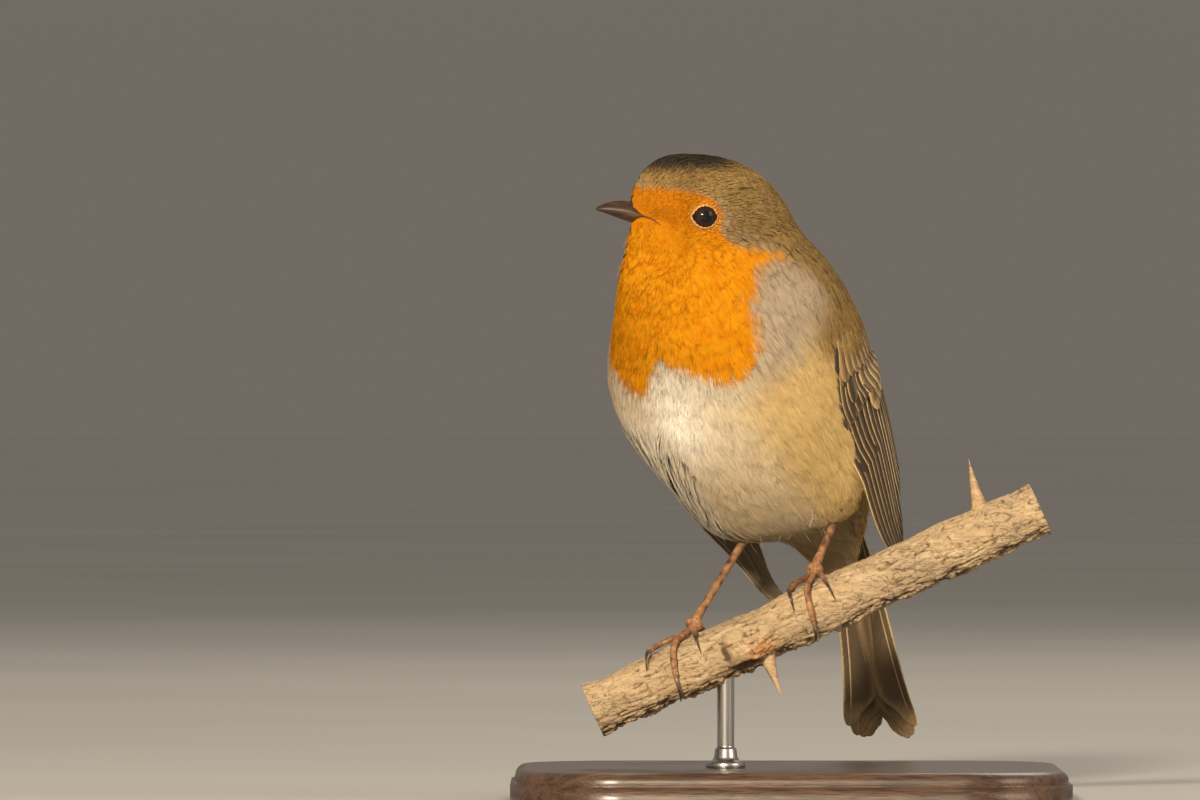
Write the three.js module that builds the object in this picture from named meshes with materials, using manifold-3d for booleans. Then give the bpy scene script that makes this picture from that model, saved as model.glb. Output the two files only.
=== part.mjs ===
// A life-size still model of a European robin, gripping a cut length of thorny branch
// that one short rod holds over a flat base. The bird looks to its right, body upright
// and turned three quarters, wings folded and tail hanging behind the branch.
//
// Millimetres, +Z up, origin at the middle of the base's underside. The branch rises
// towards +X, and the bird's breast faces -Y and a little -X. Each piece is a closed
// solid of its own, out to the tips of the plumage, and neighbours keep GAP between them.

import * as THREE from "three";
import { mergeVertices } from "three/addons/utils/BufferGeometryUtils.js";
import Module from "manifold-3d";

const wasm = await Module();
wasm.setup();

// ---------------------------------------------------------------- driving dimensions

const GAP = 0.3; // between neighbouring solids

const BODY_YAW = 32; // degrees that the body is turned from -Y towards -X
const BODY_PITCH = 55; // trunk axis above the horizontal
const HEAD_YAW = 80; // the head is turned nearly to -X
const TAIL_YAW = 22; // the tail turns less than the trunk and hangs a little steeper
const TAIL_PITCH = 62;

const BRANCH_Y = -12; // plane of the branch
const BRANCH_RISE = 0.4525; // height gained for each unit of X
const BRANCH_HEIGHT = 42.1; // of the branch's axis at X = 0
const BRANCH_RADIUS = 6.6;
const BRANCH_ENDS = [-46, 58]; // X of the two cuts

const BASE = { length: 130, depth: 110, thickness: 8, corner: 26 };
const ROD = { x: -15, radius: 2, intoBase: 4.5, intoBranch: 5 };

const EYE_RADIUS = 3.45;
const TAIL_LENGTH = 58;
const WRIST = 18; // place of the wings' front end along the trunk axis

const AROUND = 24; // facets round the trunk

// ------------------------------------------------------------------------- materials

const matte = (color, roughness = 0.85) =>
  new THREE.MeshStandardMaterial({ color, roughness, metalness: 0 });

const finish = {
  face: matte(0xe8861a),
  olive: matte(0x8b7748),
  belly: matte(0xd9c9a4),
  wing: matte(0x6f5a3c),
  tail: matte(0x6a4f36),
  eye: matte(0x120c0a, 0.08),
  bill: matte(0x4a3832, 0.4),
  leg: matte(0xa8653a, 0.55),
  claw: matte(0x3a2a20, 0.35),
  bark: matte(0xb39468, 0.9),
  base: matte(0x4b3324, 0.45),
  rod: new THREE.MeshStandardMaterial({ color: 0x8a8a88, roughness: 0.3, metalness: 1 }),
};

// ------------------------------------------------------------------ frames and solids

const V = (x, y, z) => new THREE.Vector3(x, y, z);
const rad = THREE.MathUtils.degToRad;
const mix = THREE.MathUtils.lerp;
const smooth = (x, low, high) => THREE.MathUtils.smoothstep(x, low, high);

// Axes of a body part: along points to the head, left to the bird's left, back out of
// the bird's back. Yaw turns from -Y towards -X, and pitch lifts the front.
function axes(yaw, pitch) {
  const front = V(-Math.sin(rad(yaw)), -Math.cos(rad(yaw)), 0);
  const left = V(Math.cos(rad(yaw)), -Math.sin(rad(yaw)), 0);
  const along = front.clone().multiplyScalar(Math.cos(rad(pitch)));
  along.z = Math.sin(rad(pitch));
  return { along, left, back: along.clone().cross(left) };
}

// The point at (along, left, back) in a part's own axes.
function place(origin, frame, a, l, b) {
  return origin
    .clone()
    .addScaledVector(frame.along, a)
    .addScaledVector(frame.left, l)
    .addScaledVector(frame.back, b);
}

// Joins rings of equal length into one closed surface, each end fanned to its middle.
function loft(rings) {
  const n = rings[0].length;
  const points = rings.flat();
  const faces = [];
  for (let r = 0; r + 1 < rings.length; r++) {
    for (let i = 0; i < n; i++) {
      const [a, b] = [r * n + i, r * n + ((i + 1) % n)];
      faces.push(a, b, b + n, a, b + n, a + n);
    }
  }
  for (const [end, starts] of [[0, true], [rings.length - 1, false]]) {
    const middle = rings[end].reduce((s, p) => s.add(p), V(0, 0, 0)).divideScalar(n);
    const centre = points.push(middle) - 1;
    for (let i = 0; i < n; i++) {
      const [a, b] = [end * n + i, end * n + ((i + 1) % n)];
      faces.push(...(starts ? [centre, b, a] : [centre, a, b]));
    }
  }
  const geometry = new THREE.BufferGeometry().setFromPoints(points);
  geometry.setIndex(volumeOf(points, faces) < 0 ? faces.reverse() : faces);
  return geometry;
}

function volumeOf(points, faces) {
  let sum = 0;
  for (let i = 0; i < faces.length; i += 3) {
    const [a, b, c] = [0, 1, 2].map((k) => points[faces[i + k]]);
    sum += a.dot(b.clone().cross(c));
  }
  return sum;
}

function toSolid(geometry) {
  const bare = geometry.clone();
  bare.deleteAttribute("normal");
  bare.deleteAttribute("uv");
  const merged = mergeVertices(bare, 1e-4);
  return new wasm.Manifold(
    new wasm.Mesh({
      numProp: 3,
      vertProperties: merged.attributes.position.array,
      triVerts: Uint32Array.from(merged.index.array),
    }),
  );
}

function toGeometry(solid) {
  const mesh = solid.getMesh();
  const geometry = new THREE.BufferGeometry();
  geometry.setAttribute("position", new THREE.BufferAttribute(mesh.vertProperties, 3));
  geometry.setIndex(new THREE.BufferAttribute(mesh.triVerts, 1));
  return geometry;
}

// The largest single body left after the cutters are taken away from a solid.
function cut(geometry, ...cutters) {
  const left = cutters.reduce((s, c) => s.subtract(toSolid(c)), toSolid(geometry));
  return toGeometry(left.decompose().sort((a, b) => b.volume() - a.volume())[0]);
}

function join(...geometries) {
  return toGeometry(geometries.map(toSolid).reduce((s, g) => s.add(g)));
}

// A round limb along a line of points, with its radius at each share of the length.
function limb(points, radiusAt, sides = 8, steps = 10) {
  const line = new THREE.CatmullRomCurve3(points, false, "centripetal");
  const turn = line.computeFrenetFrames(steps);
  const rings = [];
  for (let i = 0; i <= steps; i++) {
    const centre = line.getPointAt(i / steps);
    const r = radiusAt(i / steps);
    rings.push(
      Array.from({ length: sides }, (_, k) => {
        const angle = (2 * Math.PI * k) / sides;
        return centre
          .clone()
          .addScaledVector(turn.normals[i], r * Math.cos(angle))
          .addScaledVector(turn.binormals[i], r * Math.sin(angle));
      }),
    );
  }
  return loft(rings);
}

const group = new THREE.Group();

function add(name, geometry, material) {
  const mesh = new THREE.Mesh(geometry, material);
  mesh.name = name;
  group.add(mesh);
  return mesh;
}

// ------------------------------------------------------------------- plumage as a field

const bodyFrame = axes(BODY_YAW, BODY_PITCH);
const headFrame = axes(HEAD_YAW, 0);
const tailFrame = axes(TAIL_YAW, TAIL_PITCH);
const TRUNK = V(-11.3, -8.5, 98); // middle of the trunk
const HEAD = V(-19.8, -24, 137.2); // middle of the head
const onTrunk = (a, l, b) => place(TRUNK, bodyFrame, a, l, b);
const onHead = (a, l, b) => place(HEAD, headFrame, a, l, b);

// Soft lumps that the plumage's outer surface wraps. Half sizes run along, across and
// through the lump in its own axes.
const lumps = [
  { at: TRUNK, half: [37, 28, 27], frame: bodyFrame },
  { at: onTrunk(5, -6, -5), half: [20, 21.5, 20], frame: bodyFrame }, // breast
  { at: onTrunk(21, -2, -3), half: [18, 18.5, 18], frame: bodyFrame }, // upper breast
  { at: onTrunk(19, 5, 8), half: [15.5, 21, 17], frame: bodyFrame }, // mantle
  { at: V(-25.6, -23, 124), half: [13, 12.5, 12.5], frame: headFrame }, // throat
  { at: HEAD, half: [16, 12.2, 12.6], frame: headFrame },
  { at: onHead(-11, -2.5, -7), half: [10, 10, 12], frame: headFrame }, // nape
  { at: onHead(8, 0, 1.6), half: [8, 8.8, 10], frame: headFrame }, // forehead
  { at: onTrunk(-18, 1, 4), half: [24, 22, 20.5], frame: bodyFrame }, // lower back
  { at: onTrunk(-36, 1.5, 8), half: [17, 14.5, 11.5], frame: bodyFrame }, // rump
  { at: onTrunk(-27, -5, -10), half: [10, 12, 9.5], frame: bodyFrame }, // thigh feathers
  { at: V(9.8, 20, 65), half: [16, 8.5, 7.5], frame: tailFrame }, // vent
];
const SOFTNESS = 2.4; // how widely neighbouring lumps blend

// Distance from the plumage's outer surface, below zero inside: each lump's own
// distance, blended as a soft minimum.
function outside(p) {
  let sum = 0;
  for (const { at, half, frame } of lumps) {
    const d = p.clone().sub(at);
    const q = [d.dot(frame.along), d.dot(frame.left), d.dot(frame.back)];
    const near = Math.hypot(...q.map((x, i) => x / half[i]));
    const slope = Math.hypot(...q.map((x, i) => x / half[i] ** 2));
    const gap = slope > 1e-9 ? (near * (near - 1)) / slope : -Math.min(...half);
    sum += Math.exp(-gap / SOFTNESS);
  }
  return -SOFTNESS * Math.log(sum);
}

// The middle line of the bird, from inside the head to inside the tail's root.
const spine = new THREE.CatmullRomCurve3([
  HEAD,
  onTrunk(22, 0, 2),
  TRUNK,
  onTrunk(-25, 1, 3),
  V(10.5, 21.5, 64),
]);

// Where a ray from inside leaves the plumage, or the skin that lies grow outside it.
function surfaceAlong(hub, ray, grow = 0) {
  let [low, high] = [0, 60];
  for (let i = 0; i < 26; i++) {
    const middle = (low + high) / 2;
    if (outside(hub.clone().addScaledVector(ray, middle)) < grow) low = middle;
    else high = middle;
  }
  return hub.clone().addScaledVector(ray, low);
}

// A point on the outer surface: t along the spine, turn round it from the breast, and
// tilt away from the crown, 90 degrees being square to the spine.
function onPlumage(t, tilt, turn, grow = 0) {
  const hub = spine.getPoint(t);
  const down = spine.getTangent(t);
  const front = bodyFrame.back.clone().negate();
  front.addScaledVector(down, -front.dot(down)).normalize();
  const side = front.clone().cross(down).negate();
  const ray = down
    .multiplyScalar(-Math.cos(tilt))
    .addScaledVector(front, Math.sin(tilt) * Math.cos(turn))
    .addScaledVector(side, Math.sin(tilt) * Math.sin(turn));
  return surfaceAlong(hub, ray, grow);
}

const ring = (t, tilt, grow) =>
  Array.from({ length: AROUND }, (_, i) =>
    onPlumage(t, tilt, (2 * Math.PI * i) / AROUND, grow),
  );

// The stretch of plumage between two places on the spine. The first stretch is closed
// over the crown and the last one round the tail's root.
function stretch(from, to, steps, grow = 0) {
  const rings = [];
  for (let i = 0; i <= steps; i++) rings.push(ring(mix(from, to, i / steps), Math.PI / 2, grow));
  const capTilts = [0.15, 0.38, 0.62, 0.86, 1.1, 1.34];
  if (from === 0) rings.unshift(...capTilts.map((tilt) => ring(0, tilt, grow)));
  if (to === 1) rings.push(...capTilts.toReversed().map((tilt) => ring(1, Math.PI - tilt, grow)));
  return loft(rings);
}

// ------------------------------------------------------------------------ head and bill

const HEAD_END = 0.15; // places on the spine where the body is parted
const NECK_END = 0.27;
const TRUNK_END = 0.8;
const PARTING = 0.0022; // half of the parting between two stretches, as a share of it

const EYE_PLACE = { along: 2.4, up: -1.5, showing: 1.25 };

function eyeCentre(side) {
  const { along, up, showing } = EYE_PLACE;
  const outward = headFrame.left.clone().multiplyScalar(side);
  const surface = surfaceAlong(onHead(along, 0, up), outward);
  return surface.addScaledVector(outward, showing - EYE_RADIUS);
}

function eyeBall(side, radius) {
  const ball = new THREE.SphereGeometry(radius, 16, 10);
  return ball.translate(...eyeCentre(side).toArray());
}

// Half a bill: a cone whose section is half an ellipse above or below the gape line.
// The ridge of the upper half is straight and drops to the tip, and the lower half
// rises to it.
const BILL = { root: 13.2, tip: 25.6, halfWidth: 2.7, upper: 2.5, lower: 2.2, drop: -1.2 };

function halfBill(up, grow = 0) {
  const rings = [];
  for (const s of [0, 0.15, 0.35, 0.55, 0.75, 0.9, 1]) {
    const width = BILL.halfWidth * (1 - s) ** 0.8 + 0.3 + grow;
    const height = (up > 0 ? BILL.upper * (1 - s ** 2.6) : BILL.lower * (1 - s ** 1.7)) + 0.45 + grow;
    const gape = BILL.drop + 2.0 * s ** 1.2 - 0.35 * s ** 6;
    const a = mix(BILL.root, BILL.tip, s) + (s === 1 ? grow : 0);
    const arc = Array.from({ length: 9 }, (_, i) => {
      const angle = (Math.PI * i) / 8;
      return onHead(a, width * Math.cos(angle), gape + up * (GAP / 2 - grow + height * Math.sin(angle)));
    });
    rings.push(arc);
  }
  return loft(rings);
}

const bill = { bill_upper: halfBill(1), bill_lower: halfBill(-1) };
const billRoom = [halfBill(1, GAP), halfBill(-1, GAP)];
const eyeRoom = [1, -1].map((side) => eyeBall(side, EYE_RADIUS + GAP));

add("head", cut(stretch(0, HEAD_END - PARTING, 5), ...eyeRoom, ...billRoom), finish.face);
add("eye_left", eyeBall(1, EYE_RADIUS), finish.eye);
add("eye_right", eyeBall(-1, EYE_RADIUS), finish.eye);
for (const [name, geometry] of Object.entries(bill)) add(name, geometry, finish.bill);

// ------------------------------------------------------- neck, trunk, rump and wings

// A folded wing is a curved plate round the trunk's axis. Each station along that axis
// has half sizes across and through the body, and two angles from the flank towards
// the back, where the plate's lower and upper edges lie.
const wingStations = [
  { at: 1.0, across: 27.2, through: 26.5, low: 14, high: 34 },
  { at: 0.925, across: 29.4, through: 28.6, low: 4, high: 56 },
  { at: 0.75, across: 31.2, through: 30.2, low: -9, high: 70 },
  { at: 0.5, across: 30.2, through: 28.0, low: -12, high: 72 },
  { at: 0.3, across: 28.4, through: 23.5, low: -12, high: 60 },
  { at: 0.18, across: 26.4, through: 21.5, low: -8, high: 40 },
  { at: 0.08, across: 24.0, through: 20.0, low: 2, high: 33 },
  { at: 0.0, across: 21.5, through: 19.0, low: 17, high: 26 },
];
const WING_THICK = 2.6;

const stationLine = (key) =>
  new THREE.SplineCurve(wingStations.map((s) => new THREE.Vector2(s.at, s[key])));

// Towards the tip, droop turns the lower and the upper edge down round the body, and
// tuck draws the plate in towards the tail.
function foldedWing({ side, tip, droop, tuck }) {
  const lines = Object.fromEntries(
    ["across", "through", "low", "high"].map((key) => [key, stationLine(key)]),
  );
  const rings = [];
  const steps = 16;
  for (let i = 0; i <= steps; i++) {
    const s = i / steps;
    const at = lines.across.getPoint(s).x;
    const [across, through, low, high] = ["across", "through", "low", "high"].map(
      (key) => lines[key].getPoint(s).y,
    );
    const a = mix(tip, WRIST, at);
    const late = smooth(1 - at, 0.45, 0.9);
    const edge = (k, deep) => {
      const angle = rad(mix(low - droop[0] * late, high - droop[1] * late, k));
      const out = (across - deep) * Math.cos(angle) - tuck * late;
      return onTrunk(a, side * out, (through - deep) * Math.sin(angle));
    };
    const span = 7;
    const shares = Array.from({ length: span + 1 }, (_, k) => k / span);
    const plump = (k) => mix(0.45, WING_THICK, Math.sqrt(Math.abs(Math.sin(Math.PI * k))));
    rings.push([
      ...shares.map((k) => edge(k, 0)),
      ...shares.toReversed().map((k) => edge(k, plump(k))),
    ]);
  }
  return loft(rings);
}

const stretches = {
  neck: [HEAD_END + PARTING, NECK_END - PARTING, 3],
  trunk: [NECK_END + PARTING, TRUNK_END - PARTING, 13],
  rump: [TRUNK_END + PARTING, 1, 5],
};
const bodyRoom = Object.values(stretches).map((s) => stretch(...s, GAP + 0.15));
add("neck", stretch(...stretches.neck), finish.face);
add("trunk", stretch(...stretches.trunk), finish.belly);
add("rump", stretch(...stretches.rump), finish.olive);

const wings = {
  left: { side: 1, tip: -60, droop: [0, 0], tuck: 0 },
  right: { side: -1, tip: -64, droop: [-6, 14], tuck: 12.5 },
};
for (const [name, wing] of Object.entries(wings)) {
  add(`wing_${name}`, cut(foldedWing(wing), ...bodyRoom), finish.wing);
}

// ------------------------------------------------------------------------------- tail

const TAIL_ROOT = V(13.6, 26.5, 65);

// The closed tail is a thin plate, arched across, wider and thinner towards its tip,
// with a shallow notch and rounded corners.
function closedTail() {
  const rings = [];
  const steps = 7;
  const across = 12;
  for (let i = 0; i <= steps; i++) {
    const s = i / steps;
    const half = mix(4.6, 8.6, s ** 0.8);
    const thick = mix(3, 1.1, Math.sqrt(s));
    const point = (x, deep) => {
      const off = Math.abs(x) - 0.62;
      const reach = TAIL_LENGTH - (off < 0 ? -5 * off : 44 * off ** 1.8);
      const arch = mix(1.6, 1.1, s) * (1 - x * x);
      return place(TAIL_ROOT, tailFrame, -s * reach, x * half, arch - deep);
    };
    const shares = Array.from({ length: across + 1 }, (_, k) => (2 * k) / across - 1);
    rings.push([
      ...shares.map((x) => point(x, 0)),
      ...shares.toReversed().map((x) => point(x, thick)),
    ]);
  }
  return loft(rings);
}

add("tail", cut(closedTail(), ...bodyRoom), finish.tail);

// ------------------------------------------------------------------------ branch and stand

const branchAt = (x) => V(x, BRANCH_Y, BRANCH_HEIGHT + BRANCH_RISE * x);
const branchAlong = V(1, 0, BRANCH_RISE).normalize();
const branchUp = V(-BRANCH_RISE, 0, 1).normalize();
const branchFront = V(0, -1, 0);

// A point by the branch: x along it, turn round it from the top towards the front, and
// out from its axis.
function byBranch(x, turn, out) {
  return branchAt(x)
    .addScaledVector(branchUp, out * Math.cos(rad(turn)))
    .addScaledVector(branchFront, out * Math.sin(rad(turn)));
}

// A thorn is a curved cone whose foot spreads along the branch.
function thorn({ x, turn, height, foot, lean }) {
  const out = byBranch(0, turn, 1).sub(branchAt(0));
  const root = byBranch(x, turn, BRANCH_RADIUS - 1.5);
  const tip = byBranch(x, turn, BRANCH_RADIUS + height).addScaledVector(branchAlong, lean);
  const middle = root.clone().lerp(tip, 0.55).addScaledVector(out, height * 0.05);
  return limb([root, middle, tip], (s) => mix(foot, 0.3, Math.min(1, s / 0.85) ** 0.55), 7, 7);
}

const thorns = [
  { x: 46.2, turn: 5, height: 11, foot: 2.8, lean: 2.6 },
  { x: -7.6, turn: 160, height: 9.6, foot: 2.8, lean: -0.8 },
];

function rawBranch() {
  const rings = [];
  const steps = 24;
  for (let i = 0; i <= steps; i++) {
    const x = mix(...BRANCH_ENDS, i / steps);
    const knot = 1.5 * Math.exp(-(((x + 12) / 5) ** 2));
    const swell = 0.25 * Math.sin(x * 0.21) + 0.15 * Math.sin(x * 0.53 + 1);
    rings.push(
      Array.from({ length: 14 }, (_, k) => {
        const turn = (360 * k) / 14;
        const front = Math.max(0, Math.cos(rad(turn - 115)));
        return byBranch(x, turn, BRANCH_RADIUS - 0.25 + swell + knot * front);
      }),
    );
  }
  return loft(rings);
}

function rod(radius, extra = 0) {
  const low = BASE.thickness - ROD.intoBase - extra;
  const high = branchAt(ROD.x).z - BRANCH_RADIUS - 0.6 + ROD.intoBranch + extra;
  const bar = new THREE.CylinderGeometry(radius, radius, high - low, 24);
  return bar.rotateX(Math.PI / 2).translate(ROD.x, BRANCH_Y, (low + high) / 2);
}

// A flat plate with round corners and a narrow bevel round its top and bottom edges.
function basePlate() {
  const { length, depth, thickness, corner } = BASE;
  const [x, y] = [length / 2, depth / 2];
  const outline = new THREE.Shape();
  for (const [k, sx, sy] of [[0, 1, 1], [1, -1, 1], [2, -1, -1], [3, 1, -1]]) {
    const start = (k * Math.PI) / 2;
    outline.absarc(sx * (x - corner), sy * (y - corner), corner - 1, start, start + Math.PI / 2);
  }
  const plate = new THREE.ExtrudeGeometry(outline, {
    depth: thickness - 2,
    bevelSize: 1,
    bevelThickness: 1,
    bevelSegments: 1,
    curveSegments: 7,
  });
  return plate.translate(0, 0, 1);
}

const rodRoom = rod(ROD.radius + GAP, GAP);
add("perch", cut(join(rawBranch(), ...thorns.map(thorn)), rodRoom), finish.bark);
add("stand_rod", rod(ROD.radius), finish.rod);
add("stand_base", cut(basePlate(), rodRoom), finish.base);

// ----------------------------------------------------------------------- legs and feet

// Each foot grips with its ball at one place along the branch. A toe is a path of
// places: along the branch from the ball, and round it from the top towards the front.
// The claw goes on from there in the same way. Digit 1 points back, and digits 2 to 4
// run from the inner side of the foot to the outer side.
const legs = {
  right: {
    grip: -18.8,
    heel: V(-9.8, 0.6, 62.1),
    toes: [
      { path: [[0.4, -14], [1.2, -44], [1.6, -78]], claw: [1.6, -118], thick: 0.95 },
      { path: [[-0.3, 10], [-0.8, 32]], claw: [-1.2, 75], thick: 0.78 },
      { path: [[-1.8, 8], [-5.4, 34], [-7.2, 69], [-8.2, 98]], claw: [-9.4, 150], thick: 0.82 },
      { path: [[-2.2, -10], [-6.0, 3], [-9.2, 8], [-10.9, 22]], claw: [-13.2, 62], thick: 0.75 },
    ],
  },
  left: {
    grip: 9.2,
    heel: V(14.8, 0, 75),
    toes: [
      { path: [[0.4, -14], [1.2, -44], [1.6, -78]], claw: [1.6, -118], thick: 0.95 },
      { path: [[-2.0, -8], [-4.7, 6], [-6.8, 30]], claw: [-7.6, 72], thick: 0.78 },
      { path: [[-1.0, 14], [-3.2, 46], [-4.4, 87], [-4.9, 108]], claw: [-6.4, 152], thick: 0.82 },
      { path: [[0.6, 8], [1.0, 46]], claw: [1.3, 88], thick: 0.75 },
    ],
  },
};
const TOE_LIFT = 0.45; // clear space between a toe and the bark

function buildLeg(name, { grip, heel, toes }) {
  const ball = byBranch(grip, 0, BRANCH_RADIUS + 2.3);
  const shinLine = [heel, heel.clone().lerp(ball, 0.5), ball];
  const shinRadius = (s) => 1.05 + 0.35 * (1 - smooth(s, 0, 0.15)) + 0.35 * smooth(s, 0.85, 1);
  const room = [limb(shinLine, (s) => shinRadius(s) + GAP, 10, 10)];
  add(`tarsus_${name}`, cut(limb(shinLine, shinRadius, 10, 10), ...bodyRoom), finish.leg);

  toes.forEach(({ path, claw, thick }, i) => {
    const out = BRANCH_RADIUS + TOE_LIFT + thick;
    const points = path.map(([x, turn]) => byBranch(grip + x, turn, out));
    const radius = (s) => thick * mix(1.05, 0.85, s);
    const toe = limb(points, radius, 7, 3 + path.length);
    add(`toe_${name}_${i + 1}`, cut(toe, ...room), finish.leg);
    room.push(limb(points, (s) => radius(s) + GAP, 7, 3 + path.length));

    const [[x0, turn0], [x1, turn1]] = [path.at(-1), claw];
    const reach = Math.hypot(x1 - x0, rad(turn1 - turn0) * out);
    const clawPoints = [0, 0.35, 0.7, 1].map((s) => {
      const k = mix((thick + GAP) / reach, 1, s);
      const arch = 0.14 * reach * Math.sin(Math.PI * s) - 0.15 * s;
      return byBranch(grip + mix(x0, x1, k), mix(turn0, turn1, k), out + arch);
    });
    const clawRadius = (s) => mix(0.66, 0.26, s ** 1.3);
    add(`claw_${name}_${i + 1}`, cut(limb(clawPoints, clawRadius, 6, 5), ...room), finish.claw);
  });
}

for (const [name, leg] of Object.entries(legs)) buildLeg(name, leg);

export default group;
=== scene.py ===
# A life-size still model of a European robin, gripping a cut length of thorny branch that
# one short rod holds over a flat base. Metres, +Z up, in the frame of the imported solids.
# Shapes are worked out in millimetres, and MM puts them into the meshes.

import bpy
import numpy as np
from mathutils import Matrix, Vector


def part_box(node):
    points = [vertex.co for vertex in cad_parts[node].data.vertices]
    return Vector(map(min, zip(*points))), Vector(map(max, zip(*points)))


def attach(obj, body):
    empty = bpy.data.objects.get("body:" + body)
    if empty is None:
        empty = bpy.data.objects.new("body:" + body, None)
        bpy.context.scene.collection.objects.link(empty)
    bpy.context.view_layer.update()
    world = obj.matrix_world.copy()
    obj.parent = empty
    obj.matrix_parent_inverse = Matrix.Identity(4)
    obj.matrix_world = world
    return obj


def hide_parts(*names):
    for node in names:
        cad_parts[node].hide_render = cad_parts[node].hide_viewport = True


# ------------------------------------------------------------------- frame and camera
# The lens is long and level with the bird's breast. It looks along +Y from three metres
# away, and the bird stands to the right of the picture's middle.

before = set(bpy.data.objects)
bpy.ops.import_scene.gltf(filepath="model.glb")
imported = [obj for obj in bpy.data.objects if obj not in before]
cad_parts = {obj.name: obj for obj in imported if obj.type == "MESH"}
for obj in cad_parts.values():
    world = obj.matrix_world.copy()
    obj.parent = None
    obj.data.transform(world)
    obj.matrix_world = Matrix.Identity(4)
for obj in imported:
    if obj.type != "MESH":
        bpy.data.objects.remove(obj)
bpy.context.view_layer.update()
MM = 0.001


def box_mm(node):
    """Lowest and highest corner of one of the solids, in millimetres."""
    return [np.array(corner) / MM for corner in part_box(node)]


CAMERA_AT = np.array([-44.2, -3000.0, 93.5])
BIRD_Y = -9.0
PICTURE_WIDTH = 279.0  # across the picture, at the bird
SENSOR = 36.0

camera_data = bpy.data.cameras.new("camera")
camera_data.sensor_width = SENSOR
camera_data.lens = SENSOR * (BIRD_Y - CAMERA_AT[1]) / PICTURE_WIDTH
camera_data.clip_end = 100
camera = bpy.data.objects.new("camera", camera_data)
camera.location = CAMERA_AT * MM
camera.rotation_euler = (np.pi / 2, 0, 0)
bpy.context.scene.collection.objects.link(camera)
bpy.context.scene.camera = camera

# -------------------------------------------------------------------------- stand base
# A flat plate of dark stained wood with round corners. Its edge is turned with a small
# step and a soft round, and the lacquer is satin.

WOOD_DARK = (0.045, 0.022, 0.012, 1)
WOOD_LIGHT = (0.12, 0.062, 0.032, 1)
BLACK, WHITE = (0, 0, 0, 1), (1, 1, 1, 1)
BASE_CORNER = 26.0


def mix(a, b, share):
    """The value that lies the given share of the way from a to b."""
    return a + (b - a) * share


def smooth(x, low, high):
    """0 below low and 1 above high, with an S-shaped rise between them."""
    share = np.clip((x - low) / (high - low), 0, 1)
    return share * share * (3 - 2 * share)


def bell(x):
    """1 at 0, falling away evenly to both sides: e to the minus x squared."""
    return np.exp(-(x**2))


def add_piece(name, points, faces, material, corner_uv=None, attributes=None, flat=False):
    """A mesh object from points in millimetres and faces of 3 or 4 corners each.
    corner_uv holds a place for every face corner, and attributes four numbers a point."""
    mesh = bpy.data.meshes.new(name)
    mesh.vertices.add(len(points))
    mesh.vertices.foreach_set("co", np.ascontiguousarray(points * MM, np.float32).ravel())
    sizes = np.concatenate([np.full(len(f), f.shape[1]) for f in faces])
    corners = np.concatenate([f.ravel() for f in faces])
    mesh.loops.add(len(corners))
    mesh.loops.foreach_set("vertex_index", corners.astype(np.int32))
    mesh.polygons.add(len(sizes))
    starts = np.concatenate([[0], np.cumsum(sizes)[:-1]])
    mesh.polygons.foreach_set("loop_start", starts.astype(np.int32))
    mesh.polygons.foreach_set("use_smooth", np.full(len(sizes), not flat))
    for layer, places in (corner_uv or {}).items():
        mesh.uv_layers.new(name=layer).uv.foreach_set("vector", places.astype(np.float32).ravel())
    for layer, values in (attributes or {}).items():
        attribute = mesh.attributes.new(layer, "FLOAT_COLOR", "POINT")
        attribute.data.foreach_set("color", values.astype(np.float32).ravel())
    mesh.update(calc_edges=True)
    mesh.validate()
    mesh.materials.append(material)
    piece = bpy.data.objects.new(name, mesh)
    bpy.context.scene.collection.objects.link(piece)
    return piece


def volume(points, faces):
    """Signed volume inside the faces: above zero when they all point outwards."""
    quads_as_triangles = [f[:, [0, k, k + 1]] for f in faces for k in range(1, f.shape[1] - 1)]
    a, b, c = np.moveaxis(points[np.concatenate(quads_as_triangles)], 1, 0)
    return np.einsum("ij,ij->i", a, np.cross(b, c)).sum() / 6


def unit(vectors):
    """The vectors at a length of one."""
    return vectors / np.linalg.norm(vectors, axis=-1, keepdims=True)


def full_turn(count):
    """Evenly spread angles once round."""
    return np.linspace(0, 2 * np.pi, count, endpoint=False)


def swung(turn, first, second):
    """The direction at an angle from the first of two directions towards the second."""
    return np.cos(turn)[..., None] * first + np.sin(turn)[..., None] * second


def lofted(grid):
    """Closes rings of points, grid (rows, round, 3), into one tube. Quads join the rings
    and a fan closes each end on its middle. Gives the points, the faces, and each
    corner's place: round the ring, and along the tube."""
    rows, cols = grid.shape[:2]
    row, col = np.meshgrid(np.arange(rows - 1), np.arange(cols), indexing="ij")
    row, col = row.ravel(), col.ravel()
    after = (col + 1) % cols
    quads = np.stack([row * cols + col, row * cols + after, (row + 1) * cols + after,
                      (row + 1) * cols + col], 1)
    quad_uv = np.stack([np.stack([col, col + 1, col + 1, col], 1) / cols,
                        np.stack([row, row, row + 1, row + 1], 1) / (rows - 1)], 2)
    points = np.concatenate([grid.reshape(-1, 3), grid[:1].mean(1), grid[-1:].mean(1)])
    around = np.arange(cols)
    onward = (around + 1) % cols
    near = np.full(cols, rows * cols)
    fans = np.concatenate([np.stack([near, onward, around], 1),
                           np.stack([near + 1, around + (rows - 1) * cols,
                                     onward + (rows - 1) * cols], 1)])
    fan_uv = np.repeat([[0.5, 0.0], [0.5, 1.0]], cols, axis=0)[:, None] * np.ones((1, 3, 1))
    faces, uv = [quads, fans], [quad_uv.reshape(-1, 2), fan_uv.reshape(-1, 2)]
    if volume(points, faces) < 0:
        faces = [f[:, ::-1] for f in faces]
        uv = [quad_uv[:, ::-1].reshape(-1, 2), fan_uv.reshape(-1, 2)]
    return points, faces, np.concatenate(uv)


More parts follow.
